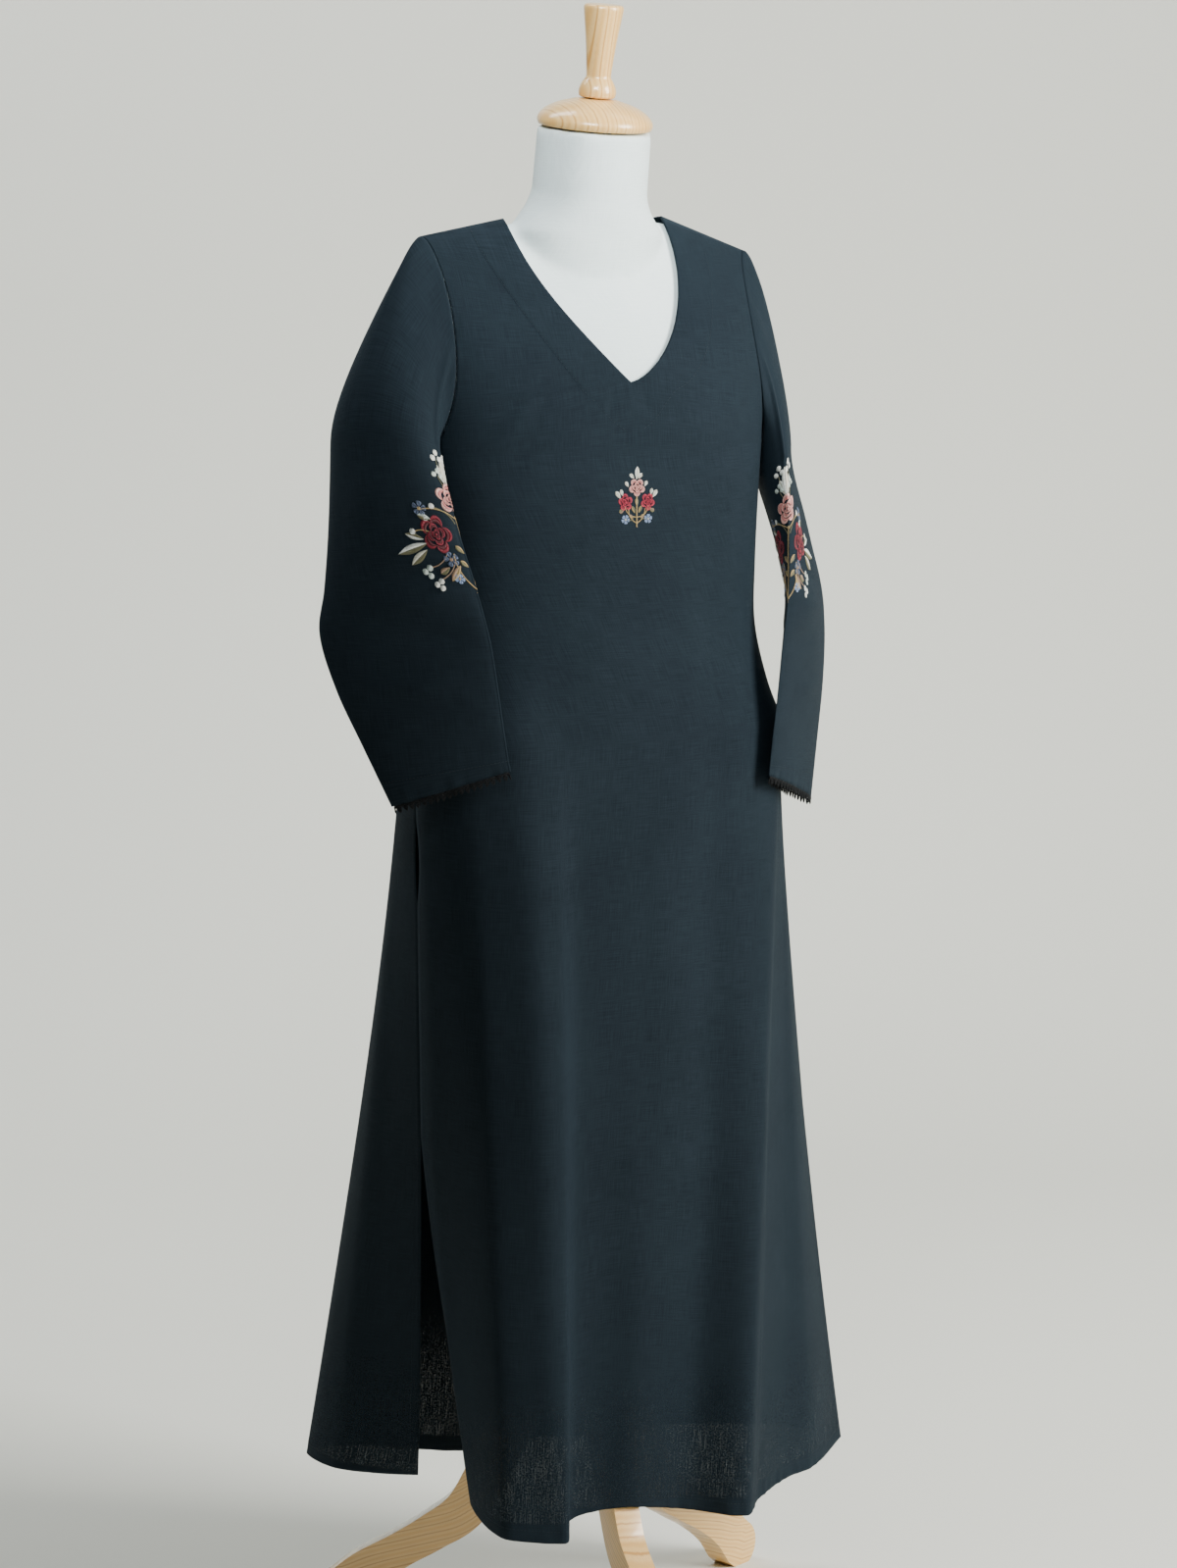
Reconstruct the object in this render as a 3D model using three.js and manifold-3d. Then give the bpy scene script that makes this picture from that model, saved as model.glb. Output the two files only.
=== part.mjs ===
// A long a-line kurta with a curved v neck, full sleeves and side slits, worn by a limbless dress
// form that stands on a wooden tripod. Millimetres, +Z up, the front faces -Y and +X is the
// wearer's left. Every table is read in the frame whose z axis is the form's pole.
import * as THREE from 'three';
import { mergeVertices } from 'three/addons/utils/BufferGeometryUtils.js';
import Module from 'manifold-3d';

const wasm = await Module();
wasm.setup();

// Cloth
const WALL = 1.5;
const SEAM = 0.3;
const ARMHOLE_SEAM = 1.6;
const UNDERARM_SEAM = 2.8;
const LACE_WALL = 1.2;
const LACE_SEAM = 0.5;
const FACING_WALL = 1.0;
const FACING_UNDER = WALL + 0.5;
const FACING = { reach: [0, 5, 26, 52], shoulder: 38, steps: 3 };
const POCKET_WALL = 1.0;
const POCKET = {
  start: 0.012, run: 0.26, behind: 5.3, halfThick: 2.2, steps: 6, sides: 16,
  mouth: { half: 44, z: 822 }, end: { half: 78, z: 792 },
};

// Heights of the garment
const UNDERARM = 1235;
const HIP = 950;
const HEM = 150;
const SLIT_TOP = 530;
const POCKET_TOP = 868;
const POCKET_BOTTOM = 776;
const POCKET_GAPE = { front: 6, back: 3 };

// Neck and shoulders
const NECK = { half: 88, top: 1460, front: 1302, back: 1440, bend: { right: 1.15, left: 0.78 } };
const SHOULDER = { right: { x: 178, z: 1444 }, left: { x: 183, z: 1424 } };
const SQUARENESS = 2.35;
const YOKE_HALF = { foot: 190, full: 198 };
const RIDGE = 0.8;
const NAPE_ROUND = { less: 0.35, within: 60, fade: 60 };
const ARMHOLE_INSET = { front: 18, back: 12 };

// Grid of the panels
const FRONT_COLUMNS = 32;
const BACK_COLUMNS = 28;
const YOKE_ROWS = 10;
const V_ROW = 3;
const BODICE_LEVELS = [HIP, 1000, 1050, 1100, 1150, 1195];
const SKIRT_LEVELS = [HEM, 200, 270, 360, 445, SLIT_TOP, 600, 690, POCKET_BOTTOM, 806, 838,
  POCKET_TOP, 905];

// The worn body's rings: half width, what the wearer's left adds to it, reach to the front and the
// back, and the side seam's place
const rings = [
  { z: HIP, half: 197, left: 12, front: 115, back: 107, seam: -20 },
  { z: 990, half: 186, left: 7, front: 114, back: 105, seam: -16 },
  { z: 1050, half: 179, left: 0, front: 114, back: 103, seam: -11 },
  { z: 1110, half: 180, left: 0, front: 116, back: 104, seam: -6 },
  { z: 1187, half: 185, left: 0, front: 117, back: 105, seam: -2 },
  { z: UNDERARM, half: 190, left: 0, front: 113, back: 105, seam: 0 },
];

// The hem, from the wearer's right to the left: u is the place on the hip ring above, 0 to 1
const frontHem = [
  { u: 0, x: -125, y: -10, z: 165 },
  { u: 0.06, x: -143, y: -28, z: 157 },
  { u: 0.2, x: -153, y: -119, z: 150 },
  { u: 0.28, x: -121, y: -142, z: 147 },
  { u: 0.37, x: -96, y: -153, z: 147 },
  { u: 0.43, x: -73, y: -118, z: 157 },
  { u: 0.55, x: -14, y: -130, z: 164 },
  { u: 0.68, x: 52, y: -132, z: 153 },
  { u: 0.84, x: 103, y: -164, z: 148 },
  { u: 0.89, x: 135, y: -130, z: 150 },
  { u: 0.935, x: 194, y: -84, z: 152 },
  { u: 0.97, x: 243, y: -59, z: 152 },
  { u: 1, x: 311, y: 2, z: 158 },
];
const backHem = [
  { u: 0, x: -160, y: 62, z: 165 },
  { u: 0.07, x: -190, y: 105, z: 160 },
  { u: 0.14, x: -219, y: 150, z: 158 },
  { u: 0.26, x: -214, y: 226, z: 155 },
  { u: 0.33, x: -160, y: 228, z: 153 },
  { u: 0.4, x: -110, y: 200, z: 150 },
  { u: 0.47, x: -60, y: 168, z: 150 },
  { u: 0.54, x: -15, y: 160, z: 150 },
  { u: 0.62, x: 40, y: 172, z: 150 },
  { u: 0.7, x: 100, y: 150, z: 150 },
  { u: 0.78, x: 165, y: 150, z: 151 },
  { u: 0.88, x: 230, y: 120, z: 153 },
  { u: 0.95, x: 285, y: 72, z: 155 },
  { u: 1, x: 300, y: 38, z: 158 },
];

// Where each side seam would meet the hem if its slit were closed
const SEAM_FOOT = { right: { x: -168, y: 25, z: 165 }, left: { x: 307, y: 18, z: 158 } };
const SLIT_SPREAD = 0.16;

// A sleeve below the armpit, with x outward: the creased front edge, the back edge, and how far
// the outer and the inner face stand off the line between them
const sleeve = [
  { down: 0, fx: 193, fy: -70, fz: 1240, bx: 251, by: 47, bz: 1236, outer: 34, inner: 26, tilt: 16 },
  { down: 0.13, fx: 189, fy: -80, fz: 1200, bx: 257, by: 42, bz: 1194, outer: 29, inner: 22, tilt: 10 },
  { down: 0.3, fx: 178, fy: -92, fz: 1146, bx: 266, by: 33, bz: 1138, outer: 23, inner: 17, tilt: 4 },
  { down: 0.43, fx: 168, fy: -101, fz: 1104, bx: 273, by: 27, bz: 1096, outer: 18, inner: 13, tilt: 0 },
  { down: 0.57, fx: 157, fy: -109, fz: 1052, bx: 280, by: 23, bz: 1054, outer: 12, inner: 9, tilt: 0 },
  { down: 0.72, fx: 150, fy: -113, fz: 1000, bx: 270, by: 6, bz: 1000, outer: 11, inner: 8, tilt: 0 },
  { down: 0.87, fx: 144, fy: -115, fz: 955, bx: 252, by: -17, bz: 945, outer: 9, inner: 7, tilt: 0 },
  { down: 1, fx: 140, fy: -117, fz: 926, bx: 232, by: -41, bz: 887, outer: 7, inner: 6, tilt: 0 },
];
const SLEEVE_HANG = {
  right: { drop: 0, out: 0, back: 0, slim: 0 }, left: { drop: 26, out: 16, back: 8, slim: 24 },
};
// How strongly the cap swells out where it leaves the armpit, the front, the top and the back
const CAP_SWELL = [1, 0.45, 0.25, 0.35, 1];
const CAP_STEPS = 5;
const SLEEVE_STEPS = 8;

// Picot lace
const PICOTS = 40;
const PICOT = { valley: 3, peak: 7.5 };

// The form: a linen torso, its neck, and the turned wood
const torsoRings = [
  { z: 750, half: 140, front: 94, back: 92 },
  { z: 850, half: 158, front: 100, back: 96 },
  { z: 950, half: 138, front: 92, back: 84 },
  { z: 1040, half: 118, front: 84, back: 74 },
  { z: 1120, half: 138, front: 102, back: 88 },
  { z: 1195, half: 156, front: 112.8, back: 99 },
  { z: UNDERARM, half: 160, front: 109.4, back: 101.4 },
];
const TORSO_SIDES = 36;
const TORSO_LEVELS = [750, 800, 850, 900, 950, 995, 1040, 1080, 1120, 1160, 1195];
const TORSO_UNDER = 5.6;
const TORSO_SHOULDER = 167;
const TORSO_LOWER_RIGHT = { by: 8, from: 110, over: 60 };
const TORSO_UPS = [0, 0.12, 0.25, 0.4, 0.55, 0.7, 0.82, 0.92, 0.98, 1];
const neckRings = [
  { up: -50, rx: 50, ry: 42 },
  { up: 0, rx: 76, ry: 56 },
  { up: 48, rx: 80, ry: 57 },
  { up: 58, rx: 72, ry: 57.5 },
  { up: 70, rx: 63, ry: 58 },
  { up: 84, rx: 57.5, ry: 57.5 },
  { up: 148, rx: 56.5, ry: 56.5 },
];
const NECK_FOOT = 1400;
const NECK_TILT = THREE.MathUtils.degToRad(6);
const NECK_ROLL = THREE.MathUtils.degToRad(2);
const NECK_TOP = 148;
const CAP_RADIUS = 58;
const CAP_HEIGHT = 30;
const BALL = { radius: 19, height: 20 };
const GRIP = { foot: 12.3, top: 20, height: 72 };
const TURNED_SIDES = 32;
const BASE = { radius: 78, height: 12 };
const POLE_RADIUS = 16;
const HUB = { radius: 32, bottom: 214, top: 330 };

// A tripod leg in its own plane: reach from the pole, height, and half the board's depth
const leg = [
  { r: 33, z: 268, deep: 24 },
  { r: 62, z: 240, deep: 24 },
  { r: 90, z: 180, deep: 23 },
  { r: 120, z: 124, deep: 22 },
  { r: 157, z: 95, deep: 20 },
  { r: 194, z: 72, deep: 19 },
  { r: 230, z: 48, deep: 22 },
  { r: 256, z: 22, deep: 26 },
];
const LEG_BOARD = 27;
const LEG_AZIMUTHS = { leg_left: 24, leg_right: 144, leg_front: -96 };
const LEG_STEPS = 14;
const FOOT_STEPS = 8;

const CLOTH = new THREE.Color(0x1d252c);
const WOOD = new THREE.Color(0xe0b987);
const LINEN = new THREE.Color(0xc9cfcd);

const lerp = THREE.MathUtils.lerp;
const clamp = THREE.MathUtils.clamp;
const smooth = (t) => THREE.MathUtils.smoothstep(t, 0, 1);
const vector = (x, y, z) => new THREE.Vector3(x, y, z);
const sideOf = (x) => (x < 0 ? 'right' : 'left');

// Smooth value of one column of a table, at a place in its key column
function along(table, key, at, name) {
  const last = table.length - 1;
  let i = 0;
  while (i < last - 1 && at > table[i + 1][key]) i += 1;
  const slope = (k) => {
    const before = table[Math.max(k - 1, 0)];
    const after = table[Math.min(k + 1, last)];
    return (after[name] - before[name]) / (after[key] - before[key]);
  };
  const span = table[i + 1][key] - table[i][key];
  const t = clamp((at - table[i][key]) / span, 0, 1);
  const rise = table[i + 1][name] - table[i][name];
  const bend = (slope(i) * (1 - t) - slope(i + 1) * t) * span + rise * (2 * t - 1);
  return table[i][name] + t * rise + t * (1 - t) * bend;
}

// Share of the hem's length at each of its places
function addShares(hem) {
  let length = 0;
  hem.forEach((place, i) => {
    if (i > 0) length += Math.hypot(place.x - hem[i - 1].x, place.y - hem[i - 1].y);
    place.share = length;
  });
  hem.forEach((place) => { place.share /= length; });
}
addShares(frontHem);
addShares(backHem);

const panels = {
  front: { face: -1, hem: frontHem, columns: FRONT_COLUMNS, topRise: 12 },
  back: { face: 1, hem: backHem, columns: BACK_COLUMNS, topRise: 40 },
};

// Half width of the body on the side that the sign names
function bodyHalf(side, z) {
  return along(rings, 'z', z, 'half') + (side > 0 ? along(rings, 'z', z, 'left') : 0);
}

// Point of a flattened ring: u runs from the wearer's right to the left over the panel's half
function ringPoint(table, panel, u, z) {
  const angle = (u - 0.5) * Math.PI;
  const half = table === rings ? bodyHalf(angle, z) : along(table, 'z', z, 'half');
  const reach = along(table, 'z', z, panel.face < 0 ? 'front' : 'back');
  const seam = table === rings ? along(table, 'z', z, 'seam') : 0;
  const side = Math.sign(angle) * Math.abs(Math.sin(angle)) ** (2 / SQUARENESS);
  const depth = Math.max(Math.cos(angle), 0) ** (2 / SQUARENESS);
  return vector(half * side, seam + (panel.face * reach - seam) * depth, z);
}

// Height of the shoulder ridge over x; inside the neck it goes on upward
function shoulderHeight(panel, x) {
  const tip = SHOULDER[sideOf(x)];
  const reach = Math.abs(x);
  if (reach >= NECK.half) {
    return lerp(NECK.top, tip.z, (reach - NECK.half) / (tip.x - NECK.half));
  }
  return NECK.top + panel.topRise * (1 - (reach / NECK.half) ** 2) ** 2;
}

// Depth of the yoke, from 1 at the underarm to 0 on the ridge; it is rounder behind the neck
function yokeDepth(panel, x, up) {
  const { less, within, fade } = NAPE_ROUND;
  const round = panel.face < 0 ? 0 : less * (1 - smooth((Math.abs(x) - within) / fade));
  return Math.max(Math.cos((up * Math.PI) / 2), 0) ** (RIDGE - round);
}

// Point of the yoke over a place of the front view
function yokePoint(panel, x, z) {
  const top = shoulderHeight(panel, x);
  const up = clamp((z - UNDERARM) / (top - UNDERARM), 0, 1);
  const half = lerp(YOKE_HALF.foot, YOKE_HALF.full, smooth(up * 2.5));
  const reach = along(rings, 'z', UNDERARM, panel.face < 0 ? 'front' : 'back');
  const across = (1 - Math.min(Math.abs(x) / half, 1) ** SQUARENESS) ** (1 / SQUARENESS);
  return vector(x, panel.face * reach * across * yokeDepth(panel, x, up), Math.min(z, top));
}

// Place of the armhole's edge in the front view, from the underarm (-1) to the shoulder tip (1)
function armholeEdge(panel, side, turn) {
  const tip = SHOULDER[side];
  const up = (1 + Math.sin((turn * Math.PI) / 2)) / 2;
  const inset = (panel.face < 0 ? ARMHOLE_INSET.front : ARMHOLE_INSET.back) *
    Math.cos((turn * Math.PI) / 2);
  const reach = lerp(YOKE_HALF.foot, tip.x, up) - inset;
  return { x: side === 'right' ? -reach : reach, z: lerp(UNDERARM, tip.z, up), up };
}

// Front neck edge from the point of the v (0) to the shoulder seam (1)
function neckEdge(side, t) {
  const x = NECK.half * Math.sin((Math.PI / 2) * t ** NECK.bend[side]);
  return { x, z: lerp(NECK.front, NECK.top, t ** 1.2) };
}

// Back neck edge over x
function backNeckHeight(x) {
  return lerp(NECK.back, NECK.top, (Math.abs(x) / NECK.half) ** 2.2);
}

// How far the slit of one side has opened, from its top (0) to the hem (1)
function slitOpening(down) {
  const top = (HIP - SLIT_TOP) / (HIP - HEM);
  return clamp((down - top) / (1 - top), 0, 1);
}

// Point of the skirt: share is the place along the hem, down runs from the hip to the hem
function skirtPoint(panel, share, down) {
  const hip = ringPoint(rings, panel, along(panel.hem, 'share', share, 'u'), HIP);
  const foot = vector(...['x', 'y', 'z'].map((name) => along(panel.hem, 'share', share, name)));
  const closed = 1 - slitOpening(down);
  for (const [side, corner, reach] of [
    ['right', panel.hem[0], share], ['left', panel.hem.at(-1), 1 - share]]) {
    const pull = closed * Math.max(1 - reach / SLIT_SPREAD, 0) ** 2;
    foot.x += (SEAM_FOOT[side].x - corner.x) * pull;
    foot.y += (SEAM_FOOT[side].y - corner.y) * pull;
    foot.z += (SEAM_FOOT[side].z - corner.z) * pull;
  }
  const out = down ** 1.04;
  return vector(lerp(hip.x, foot.x, out), lerp(hip.y, foot.y, out), lerp(hip.z, foot.z, down));
}

// How far the pocket mouth gapes at a height, as a share
function pocketGape(z) {
  return Math.sin(Math.PI * clamp((z - POCKET_BOTTOM) / (POCKET_TOP - POCKET_BOTTOM), 0, 1));
}

// Rows of one panel below the underarm, from the hem up
function lowerRows(panel) {
  const rows = [];
  for (const level of [...SKIRT_LEVELS, ...BODICE_LEVELS, UNDERARM]) {
    const row = [];
    for (let j = 0; j <= panel.columns; j += 1) {
      const share = j / panel.columns;
      let point;
      if (level < HIP) {
        point = skirtPoint(panel, share, (HIP - level) / (HIP - HEM));
      } else {
        const hipPlace = along(panel.hem, 'share', share, 'u');
        const u = lerp(share, hipPlace, smooth((UNDERARM - level) / (UNDERARM - HIP)));
        point = ringPoint(rings, panel, u, level);
      }
      if (j === 0 || j === panel.columns) point.y += (panel.face * SEAM) / 2;
      if (j === 0) {
        const gape = panel.face < 0 ? POCKET_GAPE.front : POCKET_GAPE.back;
        point.y += panel.face * gape * pocketGape(level);
      }
      row.push(point);
    }
    rows.push(row);
  }
  return rows;
}

// A sheet of cloth made of patches that share their border points
class Sheet {
  constructor() {
    this.points = [];
    this.keys = new Map();
    this.faces = [];
  }

  index(point) {
    const key = point.toArray().map((value) => Math.round(value * 1000)).join(' ');
    if (!this.keys.has(key)) {
      this.keys.set(key, this.points.length);
      this.points.push(point.clone());
    }
    return this.keys.get(key);
  }

  // Rows run up and columns to the right, seen from outside
  addPatch(rows, closed = false) {
    const ids = rows.map((row) => row.map((point) => this.index(point)));
    const width = rows[0].length;
    for (let i = 0; i + 1 < ids.length; i += 1) {
      for (let j = 0; j < (closed ? width : width - 1); j += 1) {
        const next = (j + 1) % width;
        this.faces.push([ids[i][j], ids[i][next], ids[i + 1][next]]);
        this.faces.push([ids[i][j], ids[i + 1][next], ids[i + 1][j]]);
      }
    }
  }

  normals() {
    const sums = this.points.map(() => vector(0, 0, 0));
    for (const [a, b, c] of this.faces) {
      const edge = this.points[b].clone().sub(this.points[a]);
      const normal = edge.cross(this.points[c].clone().sub(this.points[a]));
      for (const id of [a, b, c]) sums[id].add(normal);
    }
    return sums.map((sum) => sum.normalize());
  }

  // Closed wall inward from the sheet, or from some way under it; steer may turn a normal
  wall(thickness, steer = (point, normal) => normal, under = 0) {
    const normals = this.normals().map((normal, i) => steer(this.points[i], normal).normalize());
    const count = this.points.length;
    const lay = (depth) => this.points.map((point, i) => point.clone()
      .addScaledVector(normals[i], -depth));
    const inner = lay(under + thickness);
    const faces = [...this.faces, ...this.faces.map(([a, b, c]) => [c + count, b + count, a + count])];
    const edges = new Map();
    for (const [a, b, c] of this.faces) {
      for (const [from, to] of [[a, b], [b, c], [c, a]]) edges.set(`${from} ${to}`, [from, to]);
    }
    for (const [from, to] of edges.values()) {
      if (edges.has(`${to} ${from}`)) continue;
      faces.push([to, from, from + count], [to, from + count, to + count]);
    }
    return solid([...lay(under), ...inner], faces);
  }
}

function solid(points, faces) {
  const geometry = new THREE.BufferGeometry();
  const positions = points.flatMap((point) => point.toArray());
  geometry.setAttribute('position', new THREE.Float32BufferAttribute(positions, 3));
  geometry.setIndex(faces.flat());
  return geometry;
}

// At a seam both panels take one normal, so that their walls stay side by side
function seamNormal(panel) {
  return (point, normal) => {
    const onSeam = Math.abs(point.y) <= SEAM / 2 + 0.01 && point.z > UNDERARM;
    if (onSeam) return vector(normal.x, 0, Math.max(normal.z, 0.5));
    const edge = [panel.hem[0], panel.hem.at(-1)].some((corner, i) => {
      const level = clamp((HIP - point.z) / (HIP - corner.z), 0, 1);
      if (point.z > UNDERARM + 1 || slitOpening(level) > 0) return false;
      const side = i === 0 ? -1 : 1;
      const half = point.z > HIP ? bodyHalf(side, point.z) * side :
        skirtPoint(panel, i, level).x;
      return Math.abs(point.x - half) < 0.5;
    });
    return edge ? vector(Math.sign(point.x), 0, 0.12) : normal;
  };
}

// Point of the front yoke on a row, from the centre or the neck edge (0) to the armhole (1)
function frontYokePoint(side, i, out) {
  const arm = armholeEdge(panels.front, side, -1 + (2 * i) / YOKE_ROWS);
  const sign = side === 'right' ? -1 : 1;
  const neck = i < V_ROW ? { x: 0, z: lerp(UNDERARM, NECK.front, i / V_ROW) } :
    neckEdge(side, (i - V_ROW) / (YOKE_ROWS - V_ROW));
  const even = Math.sin((out * Math.PI) / 2) ** (2 / SQUARENESS);
  const spread = lerp(even, out, smooth(i / V_ROW));
  const point = yokePoint(panels.front, lerp(sign * neck.x, arm.x, spread), lerp(neck.z, arm.z, spread));
  if (i === YOKE_ROWS || (i === 0 && out === 1)) point.y = -SEAM / 2;
  return point;
}

// Rows of the front yoke over the full width, or of one side of the neck opening
function frontYokeRows(side) {
  const half = FRONT_COLUMNS / 2;
  const rows = [];
  for (let i = side ? V_ROW : 0; i <= (side ? YOKE_ROWS : V_ROW); i += 1) {
    const row = [];
    for (let j = side === 'left' ? 0 : -half; j <= (side === 'right' ? 0 : half); j += 1) {
      row.push(frontYokePoint(side ?? (j < 0 ? 'right' : 'left'), i, Math.abs(j) / half));
    }
    rows.push(row);
  }
  return rows;
}

function frontPanel() {
  const sheet = new Sheet();
  const lower = lowerRows(panels.front);
  const yoke = frontYokeRows();
  yoke[0] = lower.at(-1);
  sheet.addPatch([...lower, ...yoke.slice(1)]);
  sheet.addPatch(frontYokeRows('right'));
  sheet.addPatch(frontYokeRows('left'));
  return sheet.wall(WALL, seamNormal(panels.front));
}

// Rows of the back yoke: the top row is shoulder seam, neck edge and shoulder seam
function backYokeRows() {
  const rows = [];
  const half = BACK_COLUMNS / 2;
  for (let i = 0; i <= YOKE_ROWS; i += 1) {
    const turn = -1 + (2 * i) / YOKE_ROWS;
    const row = [];
    for (let j = -half; j <= half; j += 1) {
      const side = j < 0 ? 'right' : 'left';
      const arm = armholeEdge(panels.back, side, turn);
      const out = Math.abs(j) / half;
      const even = Math.sin((out * Math.PI) / 2) ** (2 / SQUARENESS);
      const spread = lerp(even, out, smooth(i / V_ROW));
      const topX = SHOULDER[side].x * spread;
      const topZ = topX < NECK.half ? backNeckHeight(topX) : shoulderHeight(panels.back,
        side === 'right' ? -topX : topX);
      const point = yokePoint(panels.back, arm.x * spread, lerp(UNDERARM, topZ, arm.up));
      if ((i === YOKE_ROWS && topX >= NECK.half) || (i === 0 && out === 1)) point.y = SEAM / 2;
      row.push(point);
    }
    rows.push(row);
  }
  return rows;
}

function backPanel() {
  const sheet = new Sheet();
  const rows = [...lowerRows(panels.back), ...backYokeRows().slice(1)];
  sheet.addPatch(rows.map((row) => row.reverse()));
  return sheet.wall(WALL, seamNormal(panels.back));
}

// Point of a sleeve's section; turn 0 is the armpit face, 1 the front crease, 2 the outer face
function sectionPoint(side, down, turn) {
  const at = (name) => along(sleeve, 'down', down, name);
  const crease = vector(at('fx'), at('fy'), at('fz'));
  const back = vector(at('bx'), at('by'), at('bz'));
  const middle = crease.clone().add(back).multiplyScalar(0.5);
  const chord = crease.clone().sub(middle);
  const out = vector(chord.y, -chord.x, 0).normalize().negate();
  const angle = (turn - 1) * (Math.PI / 2);
  const sharp = lerp(1, 1.35, smooth(down * 2));
  const swell = Math.sign(Math.sin(angle)) * Math.abs(Math.sin(angle)) ** sharp;
  const hang = SLEEVE_HANG[side];
  const lean = hang.slim * (1 - smooth(down * 2));
  const stand = swell * (swell > 0 ? at('outer') - lean : at('inner') + 0.05 * lean);
  const point = middle.addScaledVector(chord, Math.cos(angle)).addScaledVector(out, stand);
  point.z += swell * at('tilt');
  point.x += hang.out * smooth(down * 2);
  point.y += hang.back * smooth(down);
  point.z -= hang.drop;
  if (side === 'right') point.x = -point.x;
  return point;
}

const SLEEVE_SIDES = 2 * YOKE_ROWS;
const sectionTurn = (m) => (m / SLEEVE_SIDES) * 4;

// Rings of one sleeve, from the armhole seam over the cap down to the cuff
function sleeveRings(side) {
  const outward = side === 'right' ? -1 : 1;
  const armhole = [];
  for (let m = 0; m < SLEEVE_SIDES; m += 1) {
    const panel = m <= YOKE_ROWS ? panels.front : panels.back;
    const row = m <= YOKE_ROWS ? m : SLEEVE_SIDES - m;
    const edge = armholeEdge(panel, side, -1 + (2 * row) / YOKE_ROWS);
    const point = yokePoint(panel, edge.x, edge.z);
    if (row === 0 || row === YOKE_ROWS) point.y = 0;
    const low = (1 + Math.cos((m / SLEEVE_SIDES) * Math.PI * 2)) / 2;
    point.x += outward * lerp(ARMHOLE_SEAM, UNDERARM_SEAM, low ** 4);
    armhole.push(point);
  }
  const list = [armhole];
  for (let k = 1; k < CAP_STEPS; k += 1) {
    const t = k / CAP_STEPS;
    list.push(armhole.map((start, m) => {
      const end = sectionPoint(side, 0, sectionTurn(m));
      const below = sectionPoint(side, 0.06, sectionTurn(m));
      const length = start.distanceTo(end);
      const high = (1 - Math.cos((m / SLEEVE_SIDES) * Math.PI * 2)) / 2;
      const quarter = (m / SLEEVE_SIDES) * 4;
      const first = Math.floor(quarter);
      const swell = lerp(CAP_SWELL[first], CAP_SWELL[first + 1], quarter - first);
      const leave = vector(outward * lerp(0.25, 1, high), 0, lerp(-1, -0.2, high));
      leave.setLength(length * swell);
      const arrive = below.sub(end).setLength(length);
      return start.clone().multiplyScalar(2 * t ** 3 - 3 * t ** 2 + 1)
        .addScaledVector(leave, t ** 3 - 2 * t ** 2 + t)
        .addScaledVector(end, 3 * t ** 2 - 2 * t ** 3)
        .addScaledVector(arrive, t ** 3 - t ** 2);
    }));
  }
  for (let k = 0; k <= SLEEVE_STEPS; k += 1) {
    list.push(armhole.map((_, m) => sectionPoint(side, k / SLEEVE_STEPS, sectionTurn(m))));
  }
  return list;
}

function sleeveTube(side) {
  const sheet = new Sheet();
  const list = sleeveRings(side);
  sheet.addPatch(side === 'right' ? list.toReversed().map((row) => row.toReversed()) :
    list.toReversed(), true);
  return sheet.wall(WALL);
}

// Place on a closed ring of points, at a share of its length
function onRing(ring, share) {
  const lengths = ring.map((point, i) => point.distanceTo(ring[(i + 1) % ring.length]));
  let rest = share * lengths.reduce((sum, length) => sum + length, 0);
  let i = 0;
  while (i < ring.length - 1 && rest > lengths[i]) {
    rest -= lengths[i];
    i += 1;
  }
  return ring[i].clone().lerp(ring[(i + 1) % ring.length], rest / lengths[i]);
}

// Strip of pointed picots that hangs from a cuff
function cuffLace(side) {
  const list = sleeveRings(side);
  const edge = list.at(-1);
  const above = list.at(-2);
  const rows = [[], []];
  for (let k = 0; k < PICOTS * 2; k += 1) {
    const start = onRing(edge, k / (PICOTS * 2));
    const down = start.clone().sub(onRing(above, k / (PICOTS * 2))).normalize();
    const middle = edge.reduce((sum, point) => sum.add(point), vector(0, 0, 0))
      .divideScalar(edge.length);
    start.addScaledVector(middle.sub(start).setZ(0).normalize(), (WALL - LACE_WALL) / 2);
    rows[1].push(start.clone().addScaledVector(down, LACE_SEAM));
    rows[0].push(start.clone().addScaledVector(down, k % 2 ? PICOT.peak : PICOT.valley));
  }
  const sheet = new Sheet();
  sheet.addPatch(side === 'right' ? rows.map((row) => row.reverse()) : rows, true);
  return sheet.wall(LACE_WALL);
}

// Facing under the front neck edge, three fingers wide and mitred below the v
function neckFacing() {
  const { reach, shoulder, steps } = FACING;
  const rows = (first, last, from, to) => {
    const list = [];
    for (let i = first; i <= last; i += 1) {
      const row = [];
      for (let k = from; k <= to; k += 1) {
        const side = k < 0 || to === 0 ? 'right' : 'left';
        const edge = frontYokePoint(side, i, 0);
        const arm = frontYokePoint(side, i, 1);
        const wide = reach[i] ?? lerp(reach[V_ROW], shoulder, (i - V_ROW) / (YOKE_ROWS - V_ROW));
        row.push(frontYokePoint(side, i, (wide / Math.abs(arm.x - edge.x)) * (Math.abs(k) / steps)));
      }
      list.push(row);
    }
    return list;
  };
  const sheet = new Sheet();
  sheet.addPatch(rows(1, V_ROW, -steps, steps));
  sheet.addPatch(rows(V_ROW, YOKE_ROWS, -steps, 0));
  sheet.addPatch(rows(V_ROW, YOKE_ROWS, 0, steps));
  return sheet.wall(FACING_WALL, seamNormal(panels.front), FACING_UNDER);
}

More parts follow.
